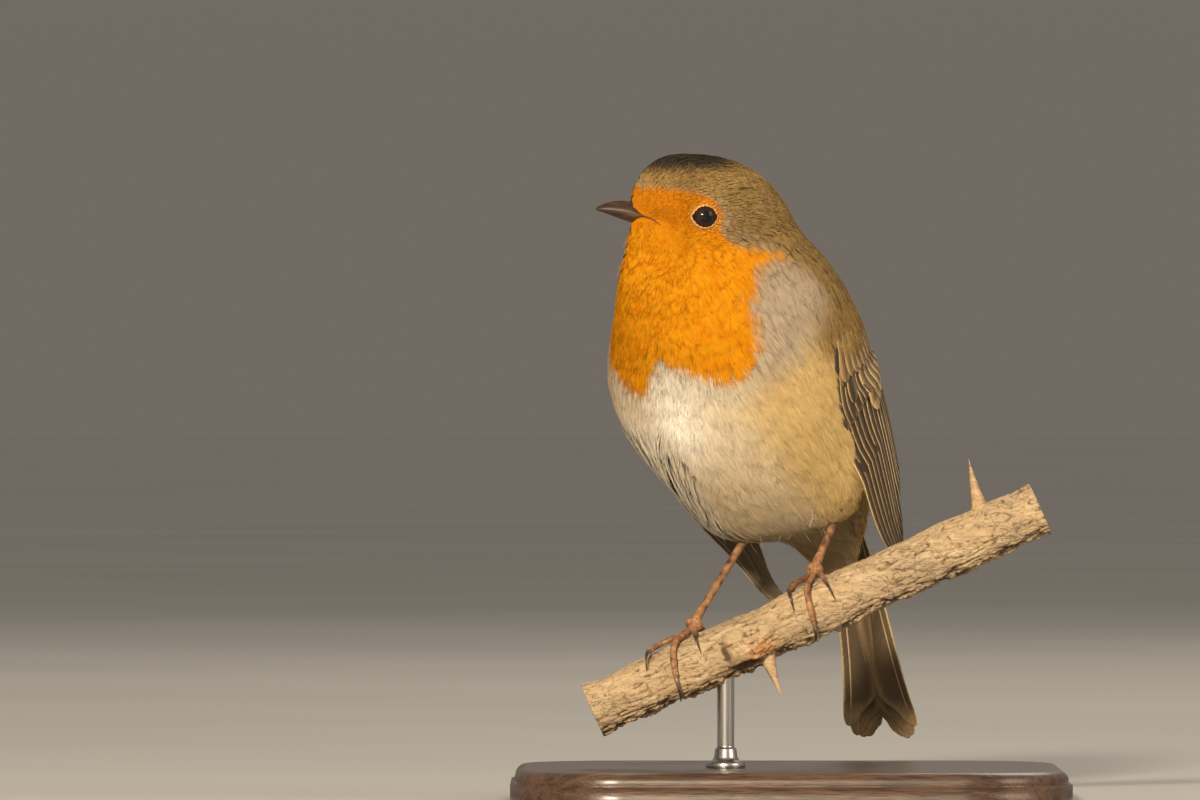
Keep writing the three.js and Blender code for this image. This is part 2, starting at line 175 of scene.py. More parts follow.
def with_ends(rows):
    """Rows of numbers for the points of a closed tube, with the first and the last row
    again for the middles of its two ends."""
    return np.concatenate([rows, rows[:1], rows[-1:]])


def joined(parts):
    """Puts several (points, faces, uv) tubes together as one mesh's data."""
    points, faces, places = [], [[], []], [[], []]
    start = 0
    for part_points, part_faces, part_uv in parts:
        points.append(part_points)
        split = part_faces[0].size
        for k, (f, uv) in enumerate(zip(part_faces, (part_uv[:split], part_uv[split:]))):
            faces[k].append(f + start)
            places[k].append(uv)
        start += len(part_points)
    faces = [np.concatenate(f) for f in faces]
    return np.concatenate(points), faces, np.concatenate([np.concatenate(p) for p in places])


def add_node(tree, kind, inputs=None, **settings):
    """Adds a shader node. Settings go on the node itself, and inputs on its sockets,
    each one a plain value or another node's output."""
    node = tree.nodes.new("ShaderNode" + kind)
    for key, value in settings.items():
        setattr(node, key, value)
    for key, value in (inputs or {}).items():
        if isinstance(value, bpy.types.NodeSocket):
            tree.links.new(value, node.inputs[key])
        else:
            node.inputs[key].default_value = value
    return node


def mix_colours(tree, share, a, b, way="MIX"):
    """Colour a turned towards colour b by a share."""
    node = add_node(tree, "Mix", {0: share, 6: a, 7: b}, data_type="RGBA", blend_type=way)
    return node.outputs[2]


def reckon(tree, way, a, b=0.0):
    """One arithmetic step on two numbers."""
    return add_node(tree, "Math", {0: a, 1: b}, operation=way).outputs[0]


def weighed(tree, *pairs):
    """The sum of several numbers, each times its own weight."""
    parts = [reckon(tree, "MULTIPLY", value, weight) for value, weight in pairs]
    total = parts[0]
    for part in parts[1:]:
        total = reckon(tree, "ADD", total, part)
    return total


def stops(tree, share, *points):
    """A ramp through (place, colour) points, read at a share."""
    node = add_node(tree, "ValToRGB", {0: share})
    ramp = node.color_ramp
    for place, colour in points[2:]:
        ramp.elements.new(place)
    for element, (place, colour) in zip(ramp.elements, sorted(points, key=lambda p: p[0])):
        element.position, element.color = place, colour
    return node.outputs[0]


def fade(tree, share, none, full):
    """A mask that rises from 0 at one place to 1 at the other, on either side of it."""
    return stops(tree, share, (none, BLACK), (full, WHITE))


def marks_of(tree, name):
    """The four numbers that an attribute holds at each point."""
    held = add_node(tree, "Attribute", attribute_name=name).outputs
    return [*add_node(tree, "SeparateColor", {0: held["Color"]}).outputs, held["Alpha"]]


def shaded(tree, colour, light):
    """A colour made darker or lighter by a number."""
    grey = add_node(tree, "CombineColor", {0: light, 1: light, 2: light}).outputs[0]
    return mix_colours(tree, 1.0, colour, grey, "MULTIPLY")


def places_of(tree, turn=(0, 0, 0), scale=(1, 1, 1)):
    """The object's own coordinates, turned and stretched."""
    coords = add_node(tree, "TexCoord").outputs["Object"]
    return add_node(tree, "Mapping", {0: coords, 2: turn, 3: scale}).outputs[0]


def noise_of(tree, places, scale, detail=3.0, roughness=0.55, distortion=0.0):
    """A cloudy pattern between 0 and 1, with the given cells a metre."""
    inputs = {"Vector": places, "Scale": scale, "Detail": detail, "Roughness": roughness,
              "Distortion": distortion}
    return add_node(tree, "TexNoise", inputs).outputs[0]


def new_material(name, **sockets):
    """A material with one Principled shader, whose even values are set on its sockets."""
    material = bpy.data.materials.new(name)
    material.use_nodes = True
    shader = material.node_tree.nodes["Principled BSDF"]
    for key, value in sockets.items():
        shader.inputs[key.replace("_", " ")].default_value = value
    return material, material.node_tree, shader


def add_bump(tree, shader, height, distance, strength):
    """Feeds a height into the shader's normal through one Bump node."""
    inputs = {"Height": height, "Distance": distance, "Strength": strength}
    tree.links.new(add_node(tree, "Bump", inputs).outputs[0], shader.inputs["Normal"])


def surface(tree, shader, colour, *bump):
    """Gives the shader its colour and, where there is one, its bump: a height, how far
    it stands out, and its strength."""
    tree.links.new(colour, shader.inputs["Base Color"])
    if bump:
        add_bump(tree, shader, *bump)


def stained_wood():
    material, tree, shader = new_material("stained_wood", Roughness=0.36, Coat_Weight=0.35,
                                          Coat_Roughness=0.22)
    stretched = places_of(tree, scale=(1, 9, 9))
    grain = noise_of(tree, stretched, 38, 6, 0.62, 1.6)
    pores = noise_of(tree, places_of(tree, scale=(1, 26, 26)), 160, 2, 0.5)
    colour = stops(tree, grain, (0.36, WOOD_DARK), (0.62, WOOD_LIGHT))
    dark = stops(tree, pores, (0.38, (0.45, 0.45, 0.45, 1)), (0.5, WHITE))
    surface(tree, shader, mix_colours(tree, 1.0, colour, dark, "MULTIPLY"), pores, 0.00012, 0.5)
    return material


def rounded_plate(low, high, corner, profile, around=57):
    """A plate with round corners. Each ring is the outline drawn in by the profile's
    inset at its height: a quarter circle for every corner, joined by straight sides."""
    angle = (np.arange(4)[:, None] + np.linspace(0, 1, around)[None]) * np.pi / 2
    away = np.stack([np.cos(angle), np.sin(angle)], -1).reshape(-1, 2)
    turned = np.repeat([[1, 1], [-1, 1], [-1, -1], [1, -1]], around, axis=0)
    centre, half = (low + high)[:2] / 2, (high - low)[:2] / 2
    rings = [np.column_stack([centre + turned * (half - corner) + away * (corner - inset),
                              np.full(len(away), low[2] + height)])
             for inset, height in profile]
    return lofted(np.array(rings))


base_low, base_high = box_mm("stand_base")
quarter = np.linspace(0, np.pi / 2, 7)
edge = [(1.0 - np.sin(q), 1.0 - np.cos(q)) for q in quarter]
edge += [(0.0, 4.6), (0.9, 4.7), (0.9, 5.0)]
edge += [(0.9 + 2.6 * (1 - np.cos(q)), 5.4 + 2.6 * np.sin(q)) for q in quarter]
edge += [(inset, 8.0) for inset in (4.5, 8.0, 16.0, 25.0)]
plate = rounded_plate(base_low, base_high, BASE_CORNER, edge)[:2]
base = add_piece("base_plate", *plate, stained_wood())
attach(base, "root")
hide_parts("stand_base")

# --------------------------------------------------------------------------- stand rod
# A brushed steel rod, pushed into the underside of the branch and held upright on the
# base by a low turned collar of the same steel.

STEEL = (0.55, 0.54, 0.52, 1)
STEEL_DIM = (0.42, 0.41, 0.40, 1)


def brushed_steel():
    material, tree, shader = new_material("brushed_steel", Metallic=1.0, Roughness=0.3)
    lines = noise_of(tree, places_of(tree, scale=(1, 1, 0.02)), 2600, 2, 0.5)
    colour = stops(tree, lines, (0.3, STEEL_DIM), (0.7, STEEL))
    surface(tree, shader, colour, lines, 0.00004, 0.35)
    return material


def turned(centre, profile, cols=56):
    """A solid of revolution about a vertical line: each ring has one radius and height."""
    angle = full_turn(cols)
    circle = np.column_stack([np.cos(angle), np.sin(angle), 0 * angle])
    return lofted(np.array([circle * r + [centre[0], centre[1], z] for r, z in profile]))


rod_low, rod_high = box_mm("stand_rod")
rod_radius = (rod_high - rod_low)[0] / 2
top = base_high[2]
collar = [(4.6, top - 0.5), (4.6, top + 1.0), (4.3, top + 1.5), (3.2, top + 1.8), (2.7, top + 2.6),
          (2.5, top + 4.4), (2.3, top + 4.7), (rod_radius, top + 4.8)]
shaft = [(rod_radius, z) for z in np.linspace(top + 5.2, rod_high[2], 12)]
stand = turned((rod_low + rod_high) / 2, collar + shaft)[:2]
rod = add_piece("stand_rod_steel", *stand, brushed_steel())
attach(rod, "root")
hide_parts("stand_rod")

# ------------------------------------------------------------------------------- perch
# A cut length of a thorny shrub's branch. Its grey-tan bark is cracked along and across
# and flakes on the underside, and an old side shoot has left a torn knot at the front.

BRANCH_HEIGHT = 42.1  # of its axis, at X = 0
BRANCH_RISE = 0.4525  # height gained for each millimetre of X
BRANCH_RADIUS = 6.6
BRANCH_ENDS = (-46.0, 58.0)
THORNS = [(46.2, 5, 11.0, 2.5, 2.6), (-7.6, 160, 9.6, 2.5, -0.8)]  # as thorn takes them
BARK = (0.50, 0.352, 0.196, 1)
BARK_GREY = (0.42, 0.315, 0.20, 1)
BARK_PALE = (0.68, 0.515, 0.325, 1)
BARK_CRACK_AND_SHADE = (0.075, 0.045, 0.025, 1)
TORN_FIBRE = (0.52, 0.25, 0.095, 1)
CUT_WOOD = (0.62, 0.46, 0.27, 1)
CUT_RING = (0.40, 0.26, 0.13, 1)
FAINT = (0.2, 0.2, 0.2, 1)

branch_y = (rod_low + rod_high)[1] / 2
branch_slope = np.array([1.0, 0, BRANCH_RISE])
branch_along = unit(branch_slope)
branch_up = np.array([-branch_along[2], 0, branch_along[0]])
branch_front = np.array([0, -1.0, 0])


def lattice(cell, seed):
    """A number between 0 and 1 for each cell of a lattice, from a sine of its place."""
    wave = np.sin(cell @ np.array([127.1, 311.7, 74.7]) + seed * 17.3) * 43758.5453
    return wave - np.floor(wave)


def cloud(p, seed=0):
    """Smooth random heights between -1 and 1: lattice values, blended in each cell."""
    cell = np.floor(p)
    inside = p - cell
    inside = inside * inside * (3 - 2 * inside)
    total = 0
    for corner in np.ndindex(2, 2, 2):
        weight = np.prod(np.where(corner, inside, 1 - inside), -1)
        total = total + weight * lattice(cell + corner, seed)
    return 2 * total - 1


def clouds(p, octaves, seed=0):
    """Several clouds, each twice as fine as the one before and half as high."""
    return sum(cloud(p * 2.0**k + 9.7 * k, seed + k) * 0.5**k for k in range(octaves))


def out_of_branch(turn):
    """The way straight out of the branch, turned from its top to its front in degrees."""
    return swung(np.radians(turn), branch_up, branch_front)


def by_branch(x, turn, out):
    """The point out from the branch's axis at x, turned from its top to its front."""
    x, turn, out = np.broadcast_arrays(x, turn, out)
    axis = np.stack([x, np.full(x.shape, branch_y), BRANCH_HEIGHT + BRANCH_RISE * x], -1)
    return axis + out_of_branch(turn) * out[..., None]


def dent(x, turn, at, wide):
    """A soft round patch on the bark, 1 at its middle: at and wide give x and turn."""
    off = (turn - at[1] + 180) % 360 - 180
    return bell((x - at[0]) / wide[0]) * bell(off / wide[1])


def bark_height(x, turn):
    """How far the bark stands out from the branch's mean radius."""
    up, front = np.cos(np.radians(turn)), np.sin(np.radians(turn))
    place = np.stack([x * 0.22, up * 1.6, front * 1.6], -1)
    fine = np.stack([x * 0.5, up * 5.5, front * 5.5], -1)
    swell = 0.25 * np.sin(x * 0.21) + 0.15 * np.sin(x * 0.53 + 1) + 0.22 * cloud(place, 3)
    ridges = 0.16 - 0.5 * np.abs(clouds(fine, 3, 5)) ** 0.8
    cracks = -0.5 * bell(cloud(fine * [0.45, 0.9, 0.9] + 4, 11) / 0.10)
    cracks = cracks - 0.35 * bell(cloud(fine * [1.3, 0.5, 0.5] + 9, 13) / 0.09)
    under = smooth(-np.cos(np.radians(turn - 10)), 0.45, 0.9)
    flakes = under * (0.75 * clouds(fine * [1.2, 1.4, 1.4], 3, 23) - 0.2)
    knot = 1.5 * bell((x + 12) / 5) * np.maximum(0, np.cos(np.radians(turn - 115)))
    flap = 0.7 * smooth(dent(x, turn, (-12.6, 74), (2.8, 17)), 0.35, 0.6)
    hollow = -2.6 * dent(x, turn, (-12.6, 139), (2.6, 12))
    hollow = hollow - 1.1 * dent(x, turn, (-15.2, 96), (0.7, 26))
    frayed = 0.5 + 0.8 * clouds(fine * [1.2, 2.6, 2.6], 3, 31)
    fibres = dent(x, turn, (-7.6, 118), (3.6, 22)) * frayed
    fine_part = 0.42 * ridges + 0.6 * cracks + flakes
    return swell + fine_part + knot + flap + hollow + fibres, fine_part + 0.5 * hollow


def rough_branch(rows=430, cols=150):
    """The branch as rings round its axis at the bark's height, with a flat cut at each
    end, where rings shrink to the middle. Also gives each point's marks: torn fibres,
    cut wood, and how low the bark lies in its cracks, flakes and hollows, for painted shade."""
    x = np.linspace(*BRANCH_ENDS, rows)[:, None]
    turn = np.linspace(0, 360, cols, endpoint=False)[None]
    x, turn = np.broadcast_arrays(x, turn)
    height, hollows = bark_height(x, turn)
    body = by_branch(x, turn, BRANCH_RADIUS - 0.25 + height)
    shrink = np.array([0.97, 0.9, 0.75, 0.6, 0.45, 0.3, 0.15])[:, None, None]
    caps = [mix(body[k].mean(0), body[k], shrink) for k in (0, -1)]
    bulge = 0.12 * (1 - shrink) * branch_along
    fibre = dent(x, turn, (-7.9, 120), (3.4, 22))
    # Painted shade: how low the bark lies in its cracks, flakes and hollows, to darken it there.
    deep = smooth(-hollows, 0.12, 0.5)
    marks = np.stack([fibre, 0 * fibre, deep, 1 + 0 * fibre], -1)
    end_marks = np.zeros((len(shrink), cols, 4)) + [0, 1, 0, 1]
    grid = np.concatenate([(caps[0] - bulge)[::-1], body, caps[1] + bulge])
    return grid, with_ends(np.concatenate([end_marks, marks, end_marks]).reshape(-1, 4))


def spline(points, count, share=None):
    """A smooth line through points: Catmull-Rom, read at evenly spread places or at the
    given shares of its length in points."""
    points = np.asarray(points, float)
    ends = np.concatenate([[2 * points[0] - points[1]], points, [2 * points[-1] - points[-2]]])
    place = (np.linspace(0, 1, count) if share is None else share) * (len(points) - 1)
    k = np.minimum(place.astype(int), len(points) - 2)
    s = (place - k)[:, None]
    a, b, c, d = (ends[k + i] for i in range(4))
    return 0.5 * (2 * b + (c - a) * s + (2 * a - 5 * b + 4 * c - d) * s**2
                  + (3 * b - a - 3 * c + d) * s**3)


def tube(line, radius, cols, side, squash=1.0):
    """A tube round a line. Its rings stay square to the line and don't twist: each one's
    first direction is the given side, made square to the line. Radius is a number for
    each ring, or one for each ring and place round it."""
    along = unit(np.gradient(line, axis=0))
    first = unit(side - along * (along @ side)[:, None])
    second = squash * np.cross(along, first)
    radius = np.asarray(radius, float).reshape(len(line), -1, 1)
    return line[:, None] + radius * swung(full_turn(cols)[None], first[:, None], second[:, None])


def thorn(x, turn, height, foot, lean):
    """A curved cone with a foot that spreads out on the bark. It stands at x and turn,
    and its tip leans along the branch."""
    root = by_branch(x, turn, BRANCH_RADIUS - 1.8)
    tip = by_branch(x, turn, BRANCH_RADIUS + height) + branch_along * lean
    line = spline([root, mix(root, tip, 0.55) + out_of_branch(turn) * height * 0.05, tip], 34)
    share = np.linspace(0, 1, 34)[:, None]
    angle = full_turn(18)[None]
    radius = mix(foot, 0.05, np.minimum(1, share / 0.95) ** 0.55)
    radius = radius * (1 + 0.05 * np.sin(5 * angle + 9 * share) + 0.5 * np.exp(-share * 22))
    return lofted(tube(line, radius, 18, branch_along))


def weathered_bark():
    """Tan and grey bark in long streaks, with small dark cracks, painted shade in its low
    places and hollows, orange fibres in the torn knot, and ringed pale wood on the two cuts."""
    material, tree, shader = new_material("weathered_bark", Roughness=0.82, Specular_IOR_Level=0.25)
    lie = (0, np.arctan(BRANCH_RISE), 0)
    streaks = noise_of(tree, places_of(tree, lie, (0.28, 1, 1)), 420, 6, 0.6, 0.6)
    patches = noise_of(tree, places_of(tree, lie, (0.6, 1, 1)), 90, 4, 0.55)
    wrinkles = noise_of(tree, places_of(tree, lie, (0.5, 1, 1)), 1250, 5, 0.65, 1.4)
    fissures = noise_of(tree, places_of(tree, lie, (0.33, 1, 1)), 520, 3, 0.55, 0.8)
    fissures = reckon(tree, "ABSOLUTE", reckon(tree, "SUBTRACT", fissures, 0.5))
    grains = noise_of(tree, places_of(tree), 2300, 3, 0.6)
    torn, cut, hollow, _ = marks_of(tree, "bark")
    colour = stops(tree, streaks, (0.3, BARK_GREY), (0.5, BARK), (0.72, BARK_PALE))
    grey = fade(tree, patches, 0.42, 0.62)
    colour = mix_colours(tree, reckon(tree, "MULTIPLY", grey, 0.65), colour, BARK_GREY)
    colour = mix_colours(tree, torn, colour, TORN_FIBRE)
    crack = fade(tree, wrinkles, 0.45, 0.36)
    line = fade(tree, fissures, 0.022, 0.0)
    line = reckon(tree, "MULTIPLY", line, stops(tree, patches, (0.35, FAINT), (0.55, WHITE)))
    # Cracks and fissures are dark, and the same colour also fills the bark's low places as painted
    # shade.
    deep = reckon(tree, "MULTIPLY", crack, 0.3)
    for mask, share in ((line, 0.6), (hollow, 0.9)):
        deep = reckon(tree, "MAXIMUM", deep, reckon(tree, "MULTIPLY", mask, share))
    colour = mix_colours(tree, deep, colour, BARK_CRACK_AND_SHADE)
    rings = {"Vector": places_of(tree, lie), "Scale": 600.0, "Distortion": 3.0}
    rings = add_node(tree, "TexWave", rings, wave_type="RINGS", rings_direction="X").outputs[1]
    ringed = stops(tree, rings, (0.2, CUT_RING), (0.6, CUT_WOOD))
    colour = mix_colours(tree, cut, colour, ringed)
    height = weighed(tree, (streaks, 0.6), (grains, 0.35), (wrinkles, 0.9), (line, -0.5))
    surface(tree, shader, colour, height, 0.00042, 0.8)
    return material


branch_grid, branch_marks = rough_branch()
branch_parts = [lofted(branch_grid)] + [thorn(*sizes) for sizes in THORNS]
thorn_points = sum(len(part[0]) for part in branch_parts[1:])
branch_marks = np.concatenate([branch_marks, np.zeros((thorn_points, 4)) + [0.12, 0, 0, 1]])
branch_points, branch_faces, _ = joined(branch_parts)
perch = add_piece("thorny_branch", branch_points, branch_faces, weathered_bark(),
                  attributes={"bark": branch_marks})
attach(perch, "root")
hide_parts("perch")

# -------------------------------------------------------------------------------- legs
# Each leg shows its long shin and four toes, in thin orange-brown skin with overlapping
# plates on the front of the shin and the top of the toes, and soft pads under them.
# The claws are dark curved horn, and hook round the branch.

LEG = (0.30, 0.137, 0.056, 1)
LEG_PALE = (0.50, 0.265, 0.118, 1)
LEG_DARK = (0.070, 0.030, 0.015, 1)
CLAW = (0.045, 0.026, 0.019, 1)
CLAW_PALE = (0.24, 0.15, 0.09, 1)
# Each foot has the place of its grip along the branch, its heel, and four toes. Toes run
# along the branch from the ball of the foot and, in degrees, round it from the top to
# the front. Digit 1 points back, and 2 to 4 run outwards.
# Each toe gives its path, where its claw ends, and its thickness.
HIND_TOE = ([(0.4, -14), (1.2, -44), (1.6, -78)], (1.6, -118), 0.95)
FEET = {
    "right": (-18.8, (-9.8, 0.6, 62.1), [
        HIND_TOE,
        ([(-0.3, 10), (-0.8, 32)], (-1.2, 75), 0.78),
        ([(-1.8, 8), (-5.4, 34), (-7.2, 69), (-8.2, 98)], (-9.4, 150), 0.82),
        ([(-2.2, -10), (-6.0, 3), (-9.2, 8), (-10.9, 22)], (-13.2, 62), 0.75),
    ]),
    "left": (9.2, (14.8, 0, 75), [
        HIND_TOE,
        ([(-2.0, -8), (-4.7, 6), (-6.8, 30)], (-7.6, 72), 0.78),
        ([(-1.0, 14), (-3.2, 46), (-4.4, 87), (-4.9, 108)], (-6.4, 152), 0.82),
        ([(0.6, 8), (1.0, 46)], (1.3, 88), 0.75),
    ]),
}
TOE_LIFT = 0.35
PLATE = 0.85  # length of one plate on a toe


def scaled_toe(grip, path, thick):
    """A toe along its path on the bark. Its radius swells at the joints and rises in a
    saw edge over each plate, on top more than on the pads below."""
    path = np.array([(0.35 * path[0][0], 0.6 * path[0][1] - 4)] + list(path))
    count = 22 * len(path)
    x, turn = spline(path, count).T
    share = np.linspace(0, 1, count)
    foot = 1.9 * (1 - smooth(share, 0, 0.16))
    line = by_branch(grip + x, turn, BRANCH_RADIUS + TOE_LIFT + thick * 0.92 + foot)
    length = np.linalg.norm(np.diff(line, axis=0), axis=1).sum()
    plates = length / PLATE
    saw = (share * plates) % 1.0
    joint = np.cos(share * np.pi * 2 * (len(path) - 1))
    angle = full_turn(20)[None]
    on_top = 0.5 + 0.5 * np.cos(angle)
    radius = thick * mix(1.02, 0.84, share) * (1 + 0.06 * joint)
    step = 0.10 * (1 - saw) * smooth(share, 0, 0.05) * smooth(-share, -1, -0.95)
    radius = radius[:, None] * (1 + step[:, None] * on_top - 0.05 * on_top)
    radius = radius * (1 - 0.55 * smooth(share, 0.93, 1.0))[:, None]
    return lofted(tube(line, radius, 20, out_of_branch(turn).mean(0)))


def long_claw(grip, path, claw, thick):
    """A claw: it leaves the toe's end, arches over, and comes back to the bark in a point.
    It is deeper than wide."""
    (x0, turn0), (x1, turn1) = path[-1], claw
    out = BRANCH_RADIUS + TOE_LIFT + thick
    reach = np.hypot(x1 - x0, np.radians(turn1 - turn0) * out)
    share = np.linspace(0, 1, 26)
    k = mix((thick - 0.9) / reach, 1.0, share)
    arch = 0.17 * reach * np.sin(np.pi * share) ** 0.9 - 0.55 * share**2
    line = by_branch(grip + mix(x0, x1, k), mix(turn0, turn1, k), out + arch)
    radius = mix(0.66, 0.07, share**1.15) * (1 + 0.12 * np.exp(-share * 9))
    return lofted(tube(line, radius, 14, out_of_branch(turn0), 0.72))


def shin(heel, ball):
    """The bare shin, from inside the thigh's feathers to the ball of the foot, slim in
    the middle, with long plates down its front."""
    heel = np.array(heel, float)
    line = spline([heel, mix(heel, ball, 0.5) + [0, 0.15, 0], ball], 120)
    share = np.linspace(0, 1, 120)
    angle = full_turn(24)[None]
    radius = 1.03 + 0.3 * (1 - smooth(share, 0, 0.16)) + 0.42 * smooth(share, 0.8, 1.0)
    plates = (share * 8.0 + 0.35) % 1.0
    small = (share * 34.0) % 1.0
    low = smooth(share, 0.72, 0.8)
    step = mix(0.035 * (1 - plates), 0.075 * (1 - small), low)
    front = smooth(np.cos(angle), -0.2, 0.6)
    ridge = 0.06 * bell((angle - np.pi) / 0.5)
    radius = radius[:, None] * (1 + step[:, None] * front + ridge)
    return lofted(tube(line, radius, 24, branch_front, 0.88))


def ball_of_foot(ball):
    """The knuckle where shin and toes meet, drawn out along the branch."""
    share = np.linspace(0.04, 0.96, 20)
    line = ball + (share - 0.5)[:, None] * (branch_along * 4.2) - branch_up * 0.55
    angle = full_turn(22)[None]
    radius = 1.75 * np.sqrt(np.sin(np.pi * share))[:, None]
    radius = radius * (1 + 0.05 * np.sin(angle * 5 + 14 * share[:, None]))
    return lofted(tube(line, radius, 22, branch_up))


def leg_skin():
    """Orange-brown scaled skin: paler on the plates, dark in the lines between them."""
    material, tree, shader = new_material("leg_skin", Roughness=0.42, Specular_IOR_Level=0.45)
    around = add_node(tree, "UVMap", uv_map="scales").outputs[0]
    blotches = noise_of(tree, places_of(tree), 420, 4, 0.6)
    cells = add_node(tree, "TexVoronoi", {"Vector": places_of(tree), "Scale": 1500.0},
                     feature="DISTANCE_TO_EDGE").outputs[0]
    lines = fade(tree, cells, 0.12, 0.0)
    colour = stops(tree, blotches, (0.32, LEG_DARK), (0.46, LEG), (0.7, LEG_PALE))
    colour = mix_colours(tree, reckon(tree, "MULTIPLY", lines, 0.5), colour, LEG_DARK)
    bands = {"Vector": around, "Scale": 3.2, "Distortion": 1.2, "Detail": 1.0}
    bands = add_node(tree, "TexWave", bands, bands_direction="Y").outputs[1]
    bands = fade(tree, bands, 0.45, 0.9)
    colour = mix_colours(tree, reckon(tree, "MULTIPLY", bands, 0.26), colour, LEG_DARK)
    height = weighed(tree, (blotches, 0.4), (lines, -0.5))
    surface(tree, shader, colour, height, 0.00015, 0.7)
    return material


def claw_horn():
    """Dark smooth horn, paler and browner near the toe."""
    material, tree, shader = new_material("claw_horn", Roughness=0.24, Specular_IOR_Level=0.55)
    around = add_node(tree, "UVMap", uv_map="scales").outputs[0]
    along = add_node(tree, "SeparateXYZ", {0: around}).outputs[1]
    streaks = noise_of(tree, places_of(tree), 900, 3, 0.5)
    share = weighed(tree, (along, 1.0), (streaks, 0.4))
    colour = stops(tree, share, (0.15, CLAW_PALE), (0.55, CLAW))
    surface(tree, shader, colour, streaks, 0.00005, 0.4)
    return material


leg_material, claw_material = leg_skin(), claw_horn()
for side_name, (grip, heel, toes) in FEET.items():
    ball = by_branch(grip, 0, BRANCH_RADIUS + 2.3)
    tubes = [shin(heel, ball), ball_of_foot(ball)]
    tubes += [scaled_toe(grip, path, thick) for path, _, thick in toes]
    points, faces, places = joined(tubes)
    leg = add_piece(f"leg_{side_name}", points, faces, leg_material, {"scales": places})
    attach(leg, "root")
    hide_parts(f"tarsus_{side_name}", *[f"toe_{side_name}_{i}" for i in range(1, 5)])
    points, faces, places = joined([long_claw(grip, *toe) for toe in toes])
    claws = add_piece(f"claws_{side_name}", points, faces, claw_material, {"scales": places})
    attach(claws, "root")
    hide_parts(*[f"claw_{side_name}_{i}" for i in range(1, 5)])

# ------------------------------------------------------------------ shape of the plumage
# The outer surface of the plumage, as the solids have it: soft lumps, each an ellipsoid
# in its own axes, blended where they meet. The skin lies inside it by the coat's depth.


def axes_of(yaw, pitch):
    """Three unit rows: along to the head, to the bird's left, and out of its back. Yaw
    turns them from -Y towards -X, and pitch lifts the front."""
    yaw, pitch = np.radians([yaw, pitch])
    ahead = np.array([-np.sin(yaw), -np.cos(yaw), 0])
    along = ahead * np.cos(pitch) + [0, 0, np.sin(pitch)]
    left = np.array([np.cos(yaw), -np.sin(yaw), 0])
    return np.stack([along, left, np.cross(along, left)])


BODY_AXES, HEAD_AXES, TAIL_AXES = axes_of(32, 55), axes_of(80, 0), axes_of(22, 62)
TRUNK = np.array([-11.3, -8.5, 98.0])
HEAD = np.array([-19.8, -24.0, 137.2])
SOFTNESS = 2.4  # how widely two lumps blend


def on_trunk(along, left, back):
    """The point at these distances from the trunk's middle, in the body's own axes."""
    return TRUNK + np.stack(np.broadcast_arrays(along, left, back), -1) @ BODY_AXES


def on_head(along, left, up):
    """The same from the head's middle, in the head's own axes."""
    return HEAD + np.stack(np.broadcast_arrays(along, left, up), -1) @ HEAD_AXES


def from_trunk(p):
    """How far points lie from the trunk's middle: along, to the left and to the back."""
    return np.moveaxis((p - TRUNK) @ BODY_AXES.T, -1, 0)


def from_head(p):
    """How far points lie from the head's middle: ahead, to the left and up."""
    return np.moveaxis((p - HEAD) @ HEAD_AXES.T, -1, 0)


LUMPS = [
    (TRUNK, (37, 28, 27), BODY_AXES),
    (on_trunk(5, -6, -5), (20, 21.5, 20), BODY_AXES),  # breast
    (on_trunk(21, -2, -3), (18, 18.5, 18), BODY_AXES),  # upper breast
    (on_trunk(19, 3.6, 7.4), (15.5, 21, 17), BODY_AXES),  # mantle
    (np.array([-25.6, -23, 124]), (13, 12.5, 12.5), HEAD_AXES),  # throat
    (HEAD, (16, 12.2, 12.6), HEAD_AXES),
    (on_head(-11, -2.5, -7), (10, 10, 12), HEAD_AXES),  # nape
    (on_head(8, 0, 1.6), (8, 8.8, 10), HEAD_AXES),  # forehead
    (on_trunk(-18, 1, 4), (24, 22, 20.5), BODY_AXES),  # lower back
    (on_trunk(-36, 2.6, 8), (17, 12.6, 11.5), BODY_AXES),  # rump
    (on_trunk(-26, -4.5, -9.5), (9, 11.5, 9), BODY_AXES),  # thigh feathers
    (np.array([9.4, 20, 65]), (16, 6.7, 6.6), TAIL_AXES),  # vent
    (on_trunk(8.5, 10.2, 7.2), (18, 16.6, 17.5), BODY_AXES),  # left shoulder
    (on_trunk(8.5, -12, 8), (18, 16.6, 17.5), BODY_AXES),  # right shoulder
    (on_trunk(-19, 14.0, -4), (17, 13.5, 9.5), BODY_AXES),  # left flank, over the wing's edge
]
SPINE = [HEAD, on_trunk(22, 0, 2), TRUNK, on_trunk(-25, 1, 3), np.array([10.5, 21.5, 64])]


def outside(p):
    """Distance of points from the plumage's surface, below zero inside: the soft minimum
    of each lump's own distance, near(near - 1) / slope. The face is drawn in towards the
    bill by reading the lumps further out from the head's middle there, most of all in
    the corners of the mouth."""
    ahead, aside, up = from_head(p)
    draw = 1.4 * smooth(ahead, 4, 14.5) * smooth(up, -17, -8)
    draw = draw + 1.1 * smooth(ahead, 8.5, 12.5) * bell((up + 2.2) / 1.6)
    p = p + (aside * draw)[..., None] * HEAD_AXES[1]
    total = 0
    for middle, half, axes in LUMPS:
        local = (p - middle) @ axes.T
        near = np.linalg.norm(local / half, axis=-1)
        slope = np.linalg.norm(local / np.square(half), axis=-1)
        total = total + np.exp(-near * (near - 1) / np.maximum(slope, 1e-9) / SOFTNESS)
    return -SOFTNESS * np.log(total)


def rise_of(p, step=0.05):
    """How outside grows along each axis, and its value."""
    here = outside(p)
    return np.stack([outside(p + step * axis) - here for axis in np.eye(3)], -1) / step, here


def outward(p):
    """The unit direction straight out of the plumage."""
    return unit(rise_of(p)[0])


def settled(p, height):
    """Moves points straight in or out until they lie at a height over the surface."""
    for _ in range(2):
        rise, here = rise_of(p)
        p = p + rise * ((height - here) / np.sum(rise**2, -1))[..., None]
    return p

# --------------------------------------------------------------------- skin of the bird
# One closed skin from the bill's root to the tail's root. It lies under the coat, close
# to the surface on the face and deep on the belly, and is tinted as the coat over it.

